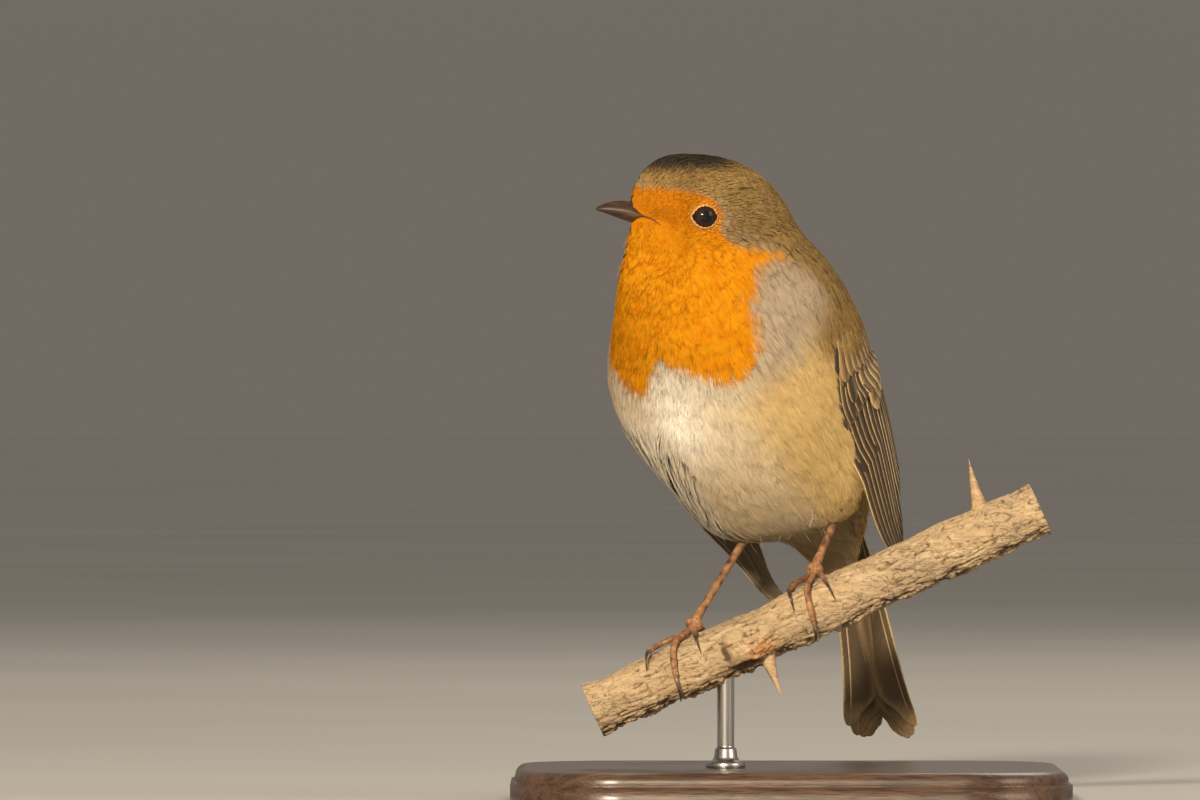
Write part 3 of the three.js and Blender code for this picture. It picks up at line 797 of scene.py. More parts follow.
CAP_ROWS, SPINE_ROWS, VENT_ROWS, SKIN_COLS = 44, 150, 22, 168
FACE_DEPTH, BODY_DEPTH = 0.38, 1.05
eye_balls = {}
for side in ("left", "right"):
    low, high = box_mm(f"eye_{side}")
    eye_balls[side] = (low + high) / 2, (high - low).max() / 2
BILL_ROOT = on_head(14.0, 0, -1.0)


def from_bill(p):
    """How far points are from the bill's root."""
    return np.linalg.norm(p - BILL_ROOT, axis=-1)


def coat_depth(p):
    """How deep the coat is over the skin: thin round the bill and eyes, thicker down the
    neck, and full on the body."""
    along = (p - HEAD) @ BODY_AXES[0]
    depth = mix(FACE_DEPTH, 0.6, smooth(from_bill(p), 3, 16))
    return mix(depth, BODY_DEPTH, smooth(-along, 4, 34))


def spine_rows():
    """For each row of the skin: its place on the spine, and its tilt away from the
    crown. Rows tilt over the crown first, then follow the spine, then close the vent."""
    cap = np.linspace(0.012, np.pi / 2, CAP_ROWS, endpoint=False)
    vent = np.linspace(np.pi / 2, np.pi - 0.012, VENT_ROWS + 1)[1:]
    place = np.concatenate([0 * cap, np.linspace(0, 1, SPINE_ROWS), 0 * vent + 1])
    tilt = np.concatenate([cap, np.full(SPINE_ROWS, np.pi / 2), vent])
    return place, tilt


def rays(place, tilt, cols):
    """Hubs on the spine and unit rays from them, rows by cols. The first column points
    to the breast, and the turn goes round the body."""
    hub = spline(SPINE, 0, place)
    after = np.minimum(place + 1e-4, 1.0)
    down = unit(spline(SPINE, 0, after) - spline(SPINE, 0, after - 2e-4))
    front = unit(-BODY_AXES[2] + down * (down @ BODY_AXES[2])[:, None])
    side = np.cross(down, front)
    across = swung(full_turn(cols)[None], front[:, None], side[:, None])
    ray = swung(tilt[:, None], -down[:, None], across)
    return hub[:, None] + 0 * ray, ray, down


def cast(hub, ray, height):
    """Where rays from inside reach a height over the surface, found by halving."""
    low, high = np.zeros(hub.shape[:-1]), np.full(hub.shape[:-1], 60.0)
    for _ in range(20):
        middle = (low + high) / 2
        inside = outside(hub + ray * middle[..., None]) < height
        low, high = np.where(inside, middle, low), np.where(inside, high, middle)
    return hub + ray * low[..., None]


def cast_at(hub, ray):
    """Where one ray from inside comes to just under the plumage's surface."""
    return cast(hub[None], unit(ray)[None], -0.1)[0]


row_place, row_tilt = spine_rows()
hubs, skin_rays, row_down = rays(row_place, row_tilt, SKIN_COLS)
outer_grid = cast(hubs, skin_rays, 0.0)
skin_grid = cast(hubs, skin_rays, -coat_depth(outer_grid))

# The markings. Orange covers the face from the bill back past the eye, the throat and
# the breast, and ends in two lobes on the belly. Slate edges it, and the rest is olive
# brown above, buff on the flanks and cream on the belly.
FACE_EDGE_UP = (-17, -12.2, -9, -5, -1.5, 2.2, 4.2, 5.2, 6.0)
FACE_EDGE_ALONG = (-9.6, -9.4, -6.2, -1.1, -1.9, 0.0, 4.0, 9.0, 17.5)


def orange_edge(p, wobble):
    """Distance inside the orange, in millimetres: above zero on the face or breast."""
    along, left, back = from_trunk(p)
    ahead, _, up = from_head(p)
    face = ahead - np.interp(up, FACE_EDGE_UP, FACE_EDGE_ALONG) + wobble * 0.5
    face = np.minimum(face, np.minimum(up + 19, (6.0 - up) * 1.2 + wobble * 0.5))
    spike = 1.6 * smooth(ahead, -20, -8) + 0.15 - np.abs(up + 11.6 + 0.05 * ahead) + wobble * 0.2
    spike = np.minimum(spike, np.minimum(ahead + 19.0, -4 - ahead))
    off, notch = np.abs(left + 0.4), left + 3.4
    notch = np.where(notch < 0, (np.abs(notch) / 3.4) ** 4, (np.abs(notch) / 11.5) ** 2.4)
    lower = 12.9 + 7.4 * np.exp(-notch) + 2.0 * smooth(off, 15, 19)
    side = 18.2 + 0.16 * (28 - along) - 0.4 * np.maximum(20 - along, 0) + 3.5 * smooth(-left, 0, 8)
    breast = np.minimum(side - off, along - lower)
    breast = np.minimum(np.minimum(breast, 37 - along), 1.5 - back) + wobble
    return np.maximum(np.maximum(face, spike), breast)


def wet_look(p):
    """How far the feathers part into separate white locks: low on the belly's right. The same share
    darkens the skin and the barbs' roots there, as painted shade in the gaps between the locks.
    """
    along, left, back = from_trunk(p)
    place = smooth(-left, 0, 8) * smooth(left, -27, -20) * smooth(-back, -8, -2)
    return place * smooth(-along, -11, -1) * smooth(along, -42, -32)


def markings(p):
    """Shares of orange, cream, slate and buff at points of the plumage, and how much darker
    the rest is: a deeper orange on the face, a darker nape, and on the crown partly its own
    darker tone and partly painted shade. What no share claims is olive brown."""
    wobble = 1.3 * cloud(p * 0.9, 41) + 0.8 * cloud(p * 2.3, 43)
    along, left, back = from_trunk(p)
    ahead, _, up = from_head(p)
    within = orange_edge(p, 0.9 * wobble)
    orange = smooth(within, -0.6, 0.6)
    head = smooth(up, -19, -9)
    reach = mix(8.5, 1.6, head)
    slate = smooth(within, -reach - 2.5, -reach + 1.5) * smooth(along, 5, 16)
    slate = slate * mix(1.0, 0.45, head) * smooth(-back, -9, -4)
    low = -5.0 - 5.0 * smooth(np.abs(left), 10, 18) * smooth(-along, 10, 22)
    low = low - 7.0 * smooth(-along, 32, 44) * smooth(-np.abs(left), -14, -8)
    verge = mix(mix(-3.0, 0.5, smooth(along, 0, 10)), low, smooth(-along, 4, 26))
    under = smooth(-back + 0.55 * wobble - verge, 0.0, 6.5) * smooth(-along, -26, -14)
    cream = under * smooth(8 * smooth(-left, 0, 8) - np.abs(left - 1.0), -21, -11)
    cream = cream * mix(0.6, 1.0, smooth(along, -46, -28))
    white = np.maximum(bell((along - 5) / 11) * bell((left + 1.5) / 8), 0.55 * wet_look(p))
    cream = cream * np.minimum(1, mix(0.30, 1.0, white) + 0.1 * wobble)
    buff = under * (1 - cream)
    # The crown's darkening is partly its own darker tone and partly painted shade on the top of the
    # head.
    crown = smooth(up + 0.5 * wobble, 8.0, 11.0) * smooth(ahead, -13, -2)
    nape = 0.30 * smooth(up, -26, -16) * smooth(-up, -9, -4) * smooth(-ahead, -4, 4)
    soot_and_shade = mix(crown + nape, 0.8 * smooth(up, -6, -1), orange)
    plain = 1 - orange
    return np.stack([orange, cream * plain, slate * plain, buff * plain], -1), soot_and_shade


OLIVE = (0.335, 0.212, 0.078, 1)
# OLIVE_DARK colours the dark mottling, and the crown's darker tone with its painted shade.
OLIVE_DARK = (0.040, 0.033, 0.025, 1)
ORANGE = (0.59, 0.230, 0.007, 1)
ORANGE_DEEP = (0.53, 0.168, 0.004, 1)
ORANGE_FACE = (0.49, 0.158, 0.007, 1)
CREAM = (0.92, 0.85, 0.72, 1)
SLATE = (0.365, 0.290, 0.205, 1)
BUFF = (0.54, 0.375, 0.160, 1)
MOTTLE = (0.28, 0.28, 0.28, 1)


def plumage_tint():
    """The node group that turns a piece's markings into its colour. It reads the shares
    from the attribute markings, and the attribute strand: place along a barb, darkened
    towards the roots as painted shade between the belly's wet locks, the barb's own
    shade, its feather's shade, and a darkening that is partly the plumage's own tone and
    partly painted shade on the crown."""
    tree = bpy.data.node_groups.new("plumage_tint", "ShaderNodeTree")
    for name in ("Root shade", "Spread"):
        tree.interface.new_socket(name, in_out="INPUT", socket_type="NodeSocketFloat")
    tree.interface.new_socket("Color", in_out="OUTPUT", socket_type="NodeSocketColor")
    given = tree.nodes.new("NodeGroupInput").outputs
    orange, cream, slate, buff = marks_of(tree, "markings")
    along, barb, feather, sooty_and_shaded = marks_of(tree, "strand")
    drift = noise_of(tree, places_of(tree), 260, 3, 0.6)
    mottle = weighed(tree, (drift, 0.75), (feather, 0.25))
    mottle = stops(tree, mottle, (0.3, MOTTLE), (0.6, BLACK))
    flame = stops(tree, drift, (0.3, ORANGE_DEEP), (0.55, ORANGE))
    flame = mix_colours(tree, sooty_and_shaded, flame, ORANGE_FACE)
    colour = OLIVE
    # The darkening share pulls olive to OLIVE_DARK: the dark mottling, and on the crown partly painted
    # shade.
    for share, other in ((reckon(tree, "MAXIMUM", sooty_and_shaded, mottle), OLIVE_DARK), (buff, BUFF),
                         (slate, SLATE), (cream, CREAM), (orange, flame)):
        colour = mix_colours(tree, share, colour, other)
    shade = weighed(tree, (barb, 0.8), (feather, 0.2))
    shade = reckon(tree, "MULTIPLY", reckon(tree, "SUBTRACT", shade, 0.5), given["Spread"])
    deep = reckon(tree, "SUBTRACT", 1.0, reckon(tree, "MULTIPLY", orange, 0.5))
    deep = reckon(tree, "MULTIPLY", given["Root shade"], deep)
    tip = reckon(tree, "MULTIPLY", reckon(tree, "SUBTRACT", 1.0, along), deep)
    light = reckon(tree, "SUBTRACT", reckon(tree, "ADD", shade, 1.0), tip)
    tree.links.new(shaded(tree, colour, light), tree.nodes.new("NodeGroupOutput").inputs[0])
    return tree


tint_group = plumage_tint()


def plumage_material(name, root_shade, spread, **sockets):
    """Soft matte plumage, coloured by the shared group."""
    material, tree, shader = new_material(name, **sockets)
    tint = tree.nodes.new("ShaderNodeGroup")
    tint.node_tree = tint_group
    tint.inputs["Root shade"].default_value = root_shade
    tint.inputs["Spread"].default_value = spread
    surface(tree, shader, tint.outputs[0])
    return material, tree, shader


skin_points, skin_faces, skin_uv = lofted(skin_grid)
skin_marks, skin_soot_and_shade = markings(skin_points)
skin_even = np.full((len(skin_points), 2), 0.5)
# Painted shade: under the wet locks the skin is coloured darker, for the shade in the gaps between
# them.
skin_strand = np.column_stack([0.95 - 0.8 * wet_look(skin_points), skin_even, skin_soot_and_shade])
skin_material, skin_tree, skin_shader = plumage_material(
    "downy_skin", 0.5, 0.4, Roughness=0.85, Specular_IOR_Level=0.0)
down_fluff = noise_of(skin_tree, places_of(skin_tree), 3000, 3, 0.6)
add_bump(skin_tree, skin_shader, down_fluff, 0.0002, 0.8)
skin = add_piece("bird_skin", skin_points, skin_faces, skin_material, {"OFBake": skin_uv},
                 {"markings": skin_marks, "strand": skin_strand})
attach(skin, "root")
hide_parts("head", "neck", "trunk", "rump")

# -------------------------------------------------------------------------------- coat
# The body feathers. Each one is a fan or a lock of fine barbs that leave a hidden shaft,
# rooted in the skin and lying back along the body, and each barb is a slim closed
# spindle. They are shortest on the face, and longest low on the belly and by the tail.


def lie_of(p, normal, down, on_neck):
    """The way the plumage lies, square to the surface: away from the bill on the head,
    and down the spine with a little spread on the body."""
    away = unit(p - BILL_ROOT)
    along, left, back = from_trunk(p)
    spread = 0.30 * np.tanh((left - 1) / 12) * smooth(along, -34, 4) * smooth(-back, -14, 4)
    body = down + spread[:, None] * BODY_AXES[1]
    lie = away + (body - away) * on_neck[:, None]
    return unit(lie - normal * np.einsum("ij,ij->i", lie, normal)[:, None])


def scatter(rows, cols, count, spacing):
    """An even scatter of roots over a patch of the skin's grid, rows and cols being the
    patch's ranges. Two golden steps fill the square, which is stretched so that each
    cell gets a share by its area over its spacing squared."""
    r, c = np.arange(*rows), np.arange(cols[0], cols[1] + 1) % SKIN_COLS
    patch = outer_grid[r][:, c]
    one, two = patch[1:, :-1] - patch[:-1, :-1], patch[:-1, 1:] - patch[:-1, :-1]
    middle = (patch[1:, 1:] + patch[:-1, :-1]) / 2
    share = np.linalg.norm(np.cross(one, two), axis=-1) / spacing(middle) ** 2
    by_row = np.concatenate([[0], np.cumsum(share.sum(1))])
    n = np.arange(count)
    first, second = (0.5 + n * 0.7548776662) % 1, (0.5 + n * 0.5698402910) % 1
    place = np.interp(first * by_row[-1], by_row, np.arange(len(by_row)))
    k = np.minimum(place.astype(int), len(share) - 1)
    by_col = np.concatenate([np.zeros((len(share), 1)), np.cumsum(share, 1)], 1)
    target = second * by_col[k, -1]
    j = (by_col[k] <= target[:, None]).sum(1) - 1
    j = np.clip(j, 0, share.shape[1] - 1)
    within = (target - by_col[k, j]) / np.maximum(by_col[k, j + 1] - by_col[k, j], 1e-9)
    s, t = (place - k)[:, None], within[:, None]
    p = mix(mix(patch[k, j], patch[k + 1, j], s), mix(patch[k, j + 1], patch[k + 1, j + 1], s), t)
    uv = np.column_stack([(j + within) / share.shape[1], place / len(share)])
    down = row_down[r][k]
    neck = smooth(row_place[r][k], 0.0, 0.2)
    return p, uv, down, neck


def feather_length(p):
    """How long the feathers are: about a millimetre round the eyes, two by the bill, nine
    on the belly and flanks, and more near the tail."""
    along = (p - HEAD) @ BODY_AXES[0]
    length = mix(2.1, 4.8, smooth(from_bill(p), 4, 18))
    length = mix(length, 9.0, smooth(-along, 6, 34)) * (1 + 0.3 * wet_look(p))
    length = mix(length, 10.5, smooth(-along, 42, 66))
    for middle, _ in eye_balls.values():
        from_eye = np.linalg.norm(p - middle, axis=-1)
        length = np.minimum(length, 1.1 + 0.5 * np.maximum(from_eye - 3.2, 0))
    return length


EYE_CLEAR = 2.95  # the feathers keep this far from the middle of an eye


def round_eyes(p):
    """Pushes points that would lie over an eye out to its rim."""
    for middle, _ in eye_balls.values():
        outwards = HEAD_AXES[1] * np.sign((middle - HEAD) @ HEAD_AXES[1])
        off = p - middle
        flat = off - outwards * (off @ outwards)[..., None]
        size = np.linalg.norm(flat * [1, 1, 1.16], axis=-1)
        near = (size < EYE_CLEAR) & ((off @ outwards) > 0)
        push = np.where(near, EYE_CLEAR / np.maximum(size, 0.3), 1.0)
        p = p + flat * (push - 1)[..., None]
    return p


def tuft_of(count):
    """Which small tuft of its feather each barb belongs to, about six barbs to one."""
    return np.arange(count) * max(1, count // 6) // count


def barbs(rng, root, normal, lie, length, width, count, pinch, loose):
    """The barbs of feathers, (feathers, count) of each. A barb leaves the shaft at some
    share of the feather's length, bends outwards, and ends on the feather's round
    outline, half drawn to its own tuft. Pinch draws the tips into a pointed lock. Gives
    each barb's root, middle and tip, and the height of each over the surface."""
    n, tuft = len(root), tuft_of(count)
    across = np.sort(rng.uniform(-1, 1, (n, count)), axis=1)
    core = np.stack([across[:, tuft == k].mean(1) for k in range(tuft[-1] + 1)], 1)[:, tuft]
    start = rng.uniform(0, 0.45, (n, count))
    end = (1 - 0.28 * across**2) * rng.uniform(0.8, 1.04, (n, count))
    forth = np.stack([start, mix(start, end, 0.4), end], -1) * length[:, None, None]
    open_out = mix(1.0, 0.16, pinch)[:, None]
    aside = np.stack([0.45 * across, mix(0.8, 0.5, pinch)[:, None] * across,
                      open_out * mix(across, core, 0.5)], -1)
    aside = aside * width[:, None, None] / 2
    aside[..., 2] += rng.normal(0, 0.035, (n, count)) * (length * mix(1, 0.5, pinch))[:, None]
    side = np.cross(normal, lie)
    p = root[:, None, None] + forth[..., None] * lie[:, None, None]
    p = p + aside[..., None] * side[:, None, None]
    depth = coat_depth(root)[:, None, None]
    lift = rng.normal(0.0, 0.06, (n, 1, 1)) + rng.normal(0, 0.05, (n, tuft[-1] + 1))[:, tuft, None]
    lift = lift + rng.normal(0, 0.04, (n, count, 1))
    lift = lift + loose[:, None, None] * rng.uniform(0, 1, (n, count, 1)) ** 9 * [0, 0.15, 0.7]
    lift = lift + pinch[:, None, None] * (0.16 - 0.12 * across**2)[..., None] * [0, 1, 0.8]
    height = depth * ([-0.95, -0.22, -0.05] + lift * [0.3, 1, 1])
    return p.reshape(-1, 3, 3), height.reshape(-1, 3)


BARB_POINTS = 5  # the corners of one barb


def spindles(line, normal, half_width, half_thick):
    """Closed six-sided spindles on lines of root, middle and tip, each widest at its
    middle, where it has three corners: one out and one to each side. Gives points,
    faces and smooth normals that lean with the surface under them."""
    along = unit(line[:, 2] - line[:, 0])
    side = unit(np.cross(normal, along))
    out = np.cross(along, side)
    wide, thick = half_width[:, None], half_thick[:, None]
    points = np.stack([line[:, 0], line[:, 1] + side * wide, line[:, 1] + out * thick,
                       line[:, 1] - side * wide, line[:, 2]], 1)
    first = np.array([[0, 2, 1], [0, 3, 2], [0, 1, 3], [4, 1, 2], [4, 2, 3], [4, 3, 1]])
    faces = (np.arange(len(line))[:, None, None] * BARB_POINTS + first).reshape(-1, 3)
    lean = np.stack([out, out + 0.75 * side, out, out - 0.75 * side, out], 1)
    lean = unit(0.65 * normal[:, None] + 0.35 * lean)
    return points.reshape(-1, 3), faces, lean.reshape(-1, 3)


BAKE_PATCH = 0.003  # size of a barb's patch on the skin's unwrap


def barb_uv(uv, faces):
    """Each barb's patch on the unwrap: its root's place, with its points spread a little
    along and across."""
    spread = np.array([[0, -0.5], [0.5, 0], [0, 0], [-0.5, 0], [0, 0.5]]) * BAKE_PATCH
    places = np.clip(uv, 0.002, 0.998)[:, None] + spread
    return places.reshape(-1, 2)[faces.ravel()]


def clear_of_bill_and_eyes(p):
    """True where feathers grow: not on the bill's root, nor under an eyelid."""
    ahead, aside, up = from_head(p)
    over = up + 2.0 - 0.3 * (ahead - 12.6)
    above = 0.16 * (ahead - 12.4) + 1.8 * np.maximum(ahead - 16.4, 0)
    below = -0.25 * (ahead - 12.4) - 1.0 * np.maximum(ahead - 15.4, 0)
    free = ~((ahead > 12.6) & (over < above) & (over > below) & (np.abs(aside) < 7))
    for middle, _ in eye_balls.values():
        off = p - middle
        flat = off - HEAD_AXES[1] * (off @ HEAD_AXES[1])[:, None]
        far = np.linalg.norm(flat * [1, 1, 1.1], axis=1) > EYE_CLEAR
        free &= far | ((off @ (middle - HEAD)) < 0)
    return free


def face_spacing(p):
    """How far apart feathers stand on the face, in millimetres."""
    return mix(0.55, 1.0, smooth(from_bill(p), 5, 22))


def body_spacing(p):
    """The same for the body."""
    return np.ones(p.shape[:-1])


def locks(p):
    """How far feathers close into pointed locks: a little on the belly and flanks, and
    fully where they part."""
    along = (p - TRUNK) @ BODY_AXES[0]
    return np.maximum(0.35 * smooth(-along, -18, 12), wet_look(p))


def loose_share(p):
    """How much barbs stand loose: most of all low on the body."""
    along = (p - TRUNK) @ BODY_AXES[0]
    return mix(0.15, 1.0, smooth(-along, 0, 34))


def face_width(p):
    """Half the width of a barb on the face."""
    return mix(0.05, 0.075, smooth(from_bill(p), 5, 22))


def body_width(p):
    """The same for the body, wider downwards."""
    return mix(0.075, 0.09, smooth(-(p - HEAD) @ BODY_AXES[0], 20, 60))


def add_coat(name, seed, rows, cols, feathers, count, keep=None, spacing=body_spacing,
             half_width=body_width, pinch=locks, loose=loose_share, stretch=1.0, raised=None):
    """One piece of the coat: scatters feathers over a patch of skin, and lays their barbs."""
    rng = np.random.default_rng(seed)
    root, uv, down, neck = scatter(rows, cols, feathers, spacing)
    root = root + rng.normal(0, 0.18, root.shape) * spacing(root)[:, None]
    root = settled(root, np.zeros(len(root)))
    chosen = rng.uniform(0, 1, len(root)) > (0.7 * wet_look(root) if raised is None else 0)
    if keep is not None:
        chosen &= keep(root)
    root, uv, down, neck = root[chosen], uv[chosen], down[chosen], neck[chosen]
    normal = outward(root)
    lie = lie_of(root, normal, down, neck)
    turn = 0.30 * cloud(root * 0.10, 7) + 0.12 * cloud(root * 0.35, 8)
    lie = swung(turn + rng.normal(0, 0.06, len(root)), lie, np.cross(normal, lie))
    length = stretch * feather_length(root) * rng.uniform(0.85, 1.15, len(root))
    width = length * mix(0.66, 0.24, pinch(root))
    line, height = barbs(rng, root, normal, lie, length, width, count, pinch(root), loose(root))
    line = settled(line, height + (0 if raised is None else raised(line)))
    line[:, 1:] = round_eyes(line[:, 1:])
    each = np.repeat(np.arange(len(root)), count)
    half = half_width(root)[each]
    points, faces, normals = spindles(line, normal[each], half, 0.5 * half)
    shares, soot_and_shade = markings(mix(line[:, 1], line[:, 2], 0.6) + rng.normal(0, 0.55, (len(each), 3)))
    tuft = tuft_of(count)
    shade = rng.uniform(0, 1, (len(root), tuft[-1] + 1))[:, tuft].ravel()
    shade = mix(shade, rng.uniform(0, 1, len(each)), 0.45)
    own = np.column_stack([shade, rng.uniform(0, 1, len(root))[each], soot_and_shade])
    core = np.abs((np.arange(count) + 0.5) / count - 0.5) < 0.11
    streak = (core * rng.uniform(0.1, 1, (len(root), 1))).ravel()
    own[:, 0] -= streak * (1.7 * np.clip(1 - shares.sum(1), 0, 1) + 1.0 * shares[:, 2])
    # Barbs darken towards their roots: a little everywhere, for the feathers' grey bases, and much
    # more among the wet locks, as painted shade in the gaps between them.
    dark = np.repeat(mix(0.4, 1.8, wet_look(root))[each], BARB_POINTS)
    bright = 1 - dark * np.tile([1.0, 0.4, 0.4, 0.4, 0.0], len(each))
    strand = np.column_stack([bright, np.repeat(own, BARB_POINTS, axis=0)])
    marks = np.repeat(shares, BARB_POINTS, axis=0)
    piece = add_piece(name, points, [faces], coat_material, {"OFBake": barb_uv(uv[each], faces)},
                      {"markings": marks, "strand": strand})
    piece.data.normals_split_custom_set_from_vertices(normals)
    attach(piece, "root")


coat_material = plumage_material("soft_feathers", 0.42, 0.48, Roughness=0.8, Specular_IOR_Level=0.0)[0]


def spine_row(place):
    """The skin's row at a place on the spine."""
    return CAP_ROWS + int(place * SPINE_ROWS)


quarter_turn = SKIN_COLS // 4
all_cols, front_cols = (0, SKIN_COLS), (-quarter_turn, quarter_turn)
back_cols = (quarter_turn, 3 * quarter_turn)
neck_row = spine_row(0.07)
add_coat("coat_head", 1, (0, neck_row), all_cols, 1700, 18, clear_of_bill_and_eyes,
         face_spacing, face_width)
for k, (name, low, high, cols) in enumerate([
    ("coat_throat", 0.06, 0.25, front_cols), ("coat_nape", 0.06, 0.25, back_cols),
    ("coat_breast", 0.24, 0.47, front_cols), ("coat_mantle", 0.24, 0.47, back_cols),
    ("coat_belly", 0.46, 0.72, front_cols), ("coat_back", 0.46, 0.72, back_cols),
]):
    add_coat(name, 10 + k, (spine_row(low), spine_row(high)), cols, 500, 56)
add_coat("coat_locks", 30, (spine_row(0.42), len(row_place) - 8), front_cols, 520, 26,
         lambda p: wet_look(p) > 0.25, half_width=lambda p: body_width(p) + 0.02,
         pinch=lambda p: 1.25 + 0 * p[:, 0], stretch=1.3, raised=lambda p: np.array([0, 0.45, 0.32]))
add_coat("coat_vent", 20, (spine_row(0.71), len(row_place) - 2), all_cols, 500, 56)

# ------------------------------------------------------------------------------- wings
# Folded flight feathers and the coverts over their roots. Each one is a thin vane on a
# raised shaft, and they lie like shingles, each outer edge over the next feather out.

WRIST = 18.0  # the wings' front end, along the trunk
WING_SPAN = 86.0  # degrees from a wing's lower edge to its upper edge
WING_RADIUS = 29.0  # of its shell, round the trunk
# Each wing's side and tip, how far its tip droops and is tucked in, and how far its
# lower edge is raised.
WINGS = {
    "left": {"side": 1, "tip": -60.0, "droop": 0.0, "tuck": 0.0, "raised": 0.0},
    "right": {"side": -1, "tip": -65.0, "droop": 24.0, "tuck": 12.5, "raised": 19.0},
}
# Share of the way from tip to wrist, half sizes across and through the body, and the
# angles from the flank to the back where the wing's lower and upper edges lie.
WING_STATIONS = np.array([
    (1.0, 27.2, 26.5, 14, 34), (0.925, 29.4, 28.6, 3, 56), (0.75, 31.2, 30.2, -12, 70),
    (0.5, 30.2, 28.0, -16, 72), (0.3, 28.4, 23.5, -16, 60), (0.18, 26.4, 21.5, -10, 40),
    (0.08, 24.0, 20.0, 2, 33), (0.0, 21.5, 19.0, 17, 26),
])
wing_lines = spline(WING_STATIONS, 240)[::-1]
# How far the rows are spread, at shares of the way from tip to wrist.
SPREAD_AT = (0, 0.1, 0.2, 0.35, 0.85, 1.1)
SPREAD = (0.35, 0.65, 0.9, 1, 1, 0.75)

# Rows of feathers: roots and tips along the trunk, from the outermost feather to the
# innermost; the first one's place over the lower edge and the step to the next, in
# degrees; width outside and inside the shaft, lift over the shell, where the tip
# starts to round, and the feathers' look (fringe, olive and tip spot).
PRIMARY_TIPS = (-52, -57.5, -60, -59.5, -57, -53.5, -50, -46.5, -43)
WING_ROWS = [
    ((10,) * 9, PRIMARY_TIPS, 0, 3.0, 1.3, 5.2, 0.0, 0.72, (1.0, 0.1, 0)),
    ((8,) * 6, np.linspace(-37, -31, 6), 27, 4.0, 1.7, 5.0, 0.05, 0.86, (0.95, 0.35, 0)),
    ((6,) * 3, (-27, -19, -10), 51, 8.0, 3.0, 4.0, 0.1, 0.86, (0.5, 0.7, 0)),
    ((16,) * 7, np.linspace(-10, -6, 7), 1, 3.0, 1.2, 2.6, 0.30, 0.75, (0.6, 0.25, 0)),
    ((15,) * 9, np.linspace(-11, -5, 9), 20, 5.4, 2.2, 3.8, 0.42, 0.82, (0.45, 0.75, 0.35)),
    ((17,) * 3, (4, 0, -5), 0, 3.6, 1.2, 2.6, 0.62, 0.75, (0.7, 0.1, 0)),
    ((18,) * 12, np.linspace(1, -4, 12), 3, 5.0, 2.0, 3.0, 0.75, 0.7, (0.2, 0.9, 0.05)),
]


def wing_share(wing, a):
    """The share of the way from the wing's tip to its wrist."""
    return (a - wing["tip"]) / (WRIST - wing["tip"])


def wing_line(wing, a, column):
    """One of the wing's station lines, at a place along the trunk."""
    return np.interp(wing_share(wing, a), wing_lines[:, 0], wing_lines[:, column])


def wing_low(wing, a):
    """The angle of the wing's lower edge."""
    low = wing_line(wing, a, 3) - wing["droop"] * smooth(-a, 42, 62)
    return low + wing["raised"] * smooth(a, -46, -16)


def on_wing(wing, a, angle, height):
    """A point at a height over the folded wing's shell."""
    late = smooth(1 - wing_share(wing, a), 0.45, 0.9)
    turn = np.radians(angle)
    out = (wing_line(wing, a, 1) + height) * np.cos(turn) - wing["tuck"] * late
    return on_trunk(a, wing["side"] * out, (wing_line(wing, a, 2) + height) * np.sin(turn))


def room_over(along, edge, top):
    """How far a wing's shell may stand over the plumage: nothing at its edges and root,
    more towards its middle, and freely near its tip. Edge and top are how far in from
    its lower and upper edges a point is, in millimetres."""
    low = -0.8 + 0.31 * np.maximum(edge, 0) + 0.12 * np.minimum(edge, 0)
    low = low + 40 * smooth(-along, 8, 40) ** 3
    high = -0.7 + 0.45 * np.maximum(top, 0)
    middle = 3.4 + 32 * smooth(-along, 6, 30)
    root = -1.3 + 0.13 * np.maximum(15 - along, 0) + 40 * smooth(-along, 2, 40)
    return np.minimum(np.minimum(low, high), np.minimum(middle, root))


def hugged(p, edge, top):
    """Draws points of a wing in to the body where they stand too far off it."""
    along = (p - TRUNK) @ BODY_AXES[0]
    rise, here = rise_of(p)
    extra = np.maximum(here - room_over(along, edge, top), 0)
    return p - rise * (extra / np.sum(rise**2, -1))[..., None]


def vane(length, outer, inner, blunt, rows=24):
    """A flat feather: how far each point lies across from its shaft, along it, and over
    it. Its rows are rings round the vane, over the top and back underneath. Also gives
    marks: share of the way to the edge, outer side, along, and underside."""
    s = 1 - (1 - np.linspace(0, 0.992, rows)[:, None]) ** 1.6
    tip = np.clip((s - blunt) / (1 - blunt), 0, 1)
    shape = (0.4 + 0.6 * smooth(s, 0, 0.25)) * np.sqrt(1 - tip**2.4)
    shaft = np.minimum(0.12 * (1 - 0.6 * s), 0.3 * shape)
    out, into = np.array([[-1, -0.75, -0.5, -0.25]]), np.array([[0.12, 0.3, 0.5, 0.7, 0.87, 1.0]])
    x = [out * outer * shape - shaft, -shaft, 0 * s, shaft, into * inner * shape + shaft]
    x = np.concatenate(x, 1)
    share = np.concatenate([-out, [[0.08, 0, 0.04]], into], 1) + 0 * s
    thick = mix(0.075, 0.02, share)
    thick[:, 5] += 0.14 * (1 - 0.7 * s[:, 0])
    over = np.concatenate([thick, -thick[:, ::-1]], 1)
    under = np.concatenate([0 * x, 0 * x + 1], 1)
    x, share = np.concatenate([x, x[:, ::-1]], 1), np.concatenate([share, share[:, ::-1]], 1)
    over = over - 0.012 * x**2
    marks = np.stack([share, (x < 0) + 0.0, s + 0 * x, under], -1)
    return x, s * length + 0 * x, over, marks


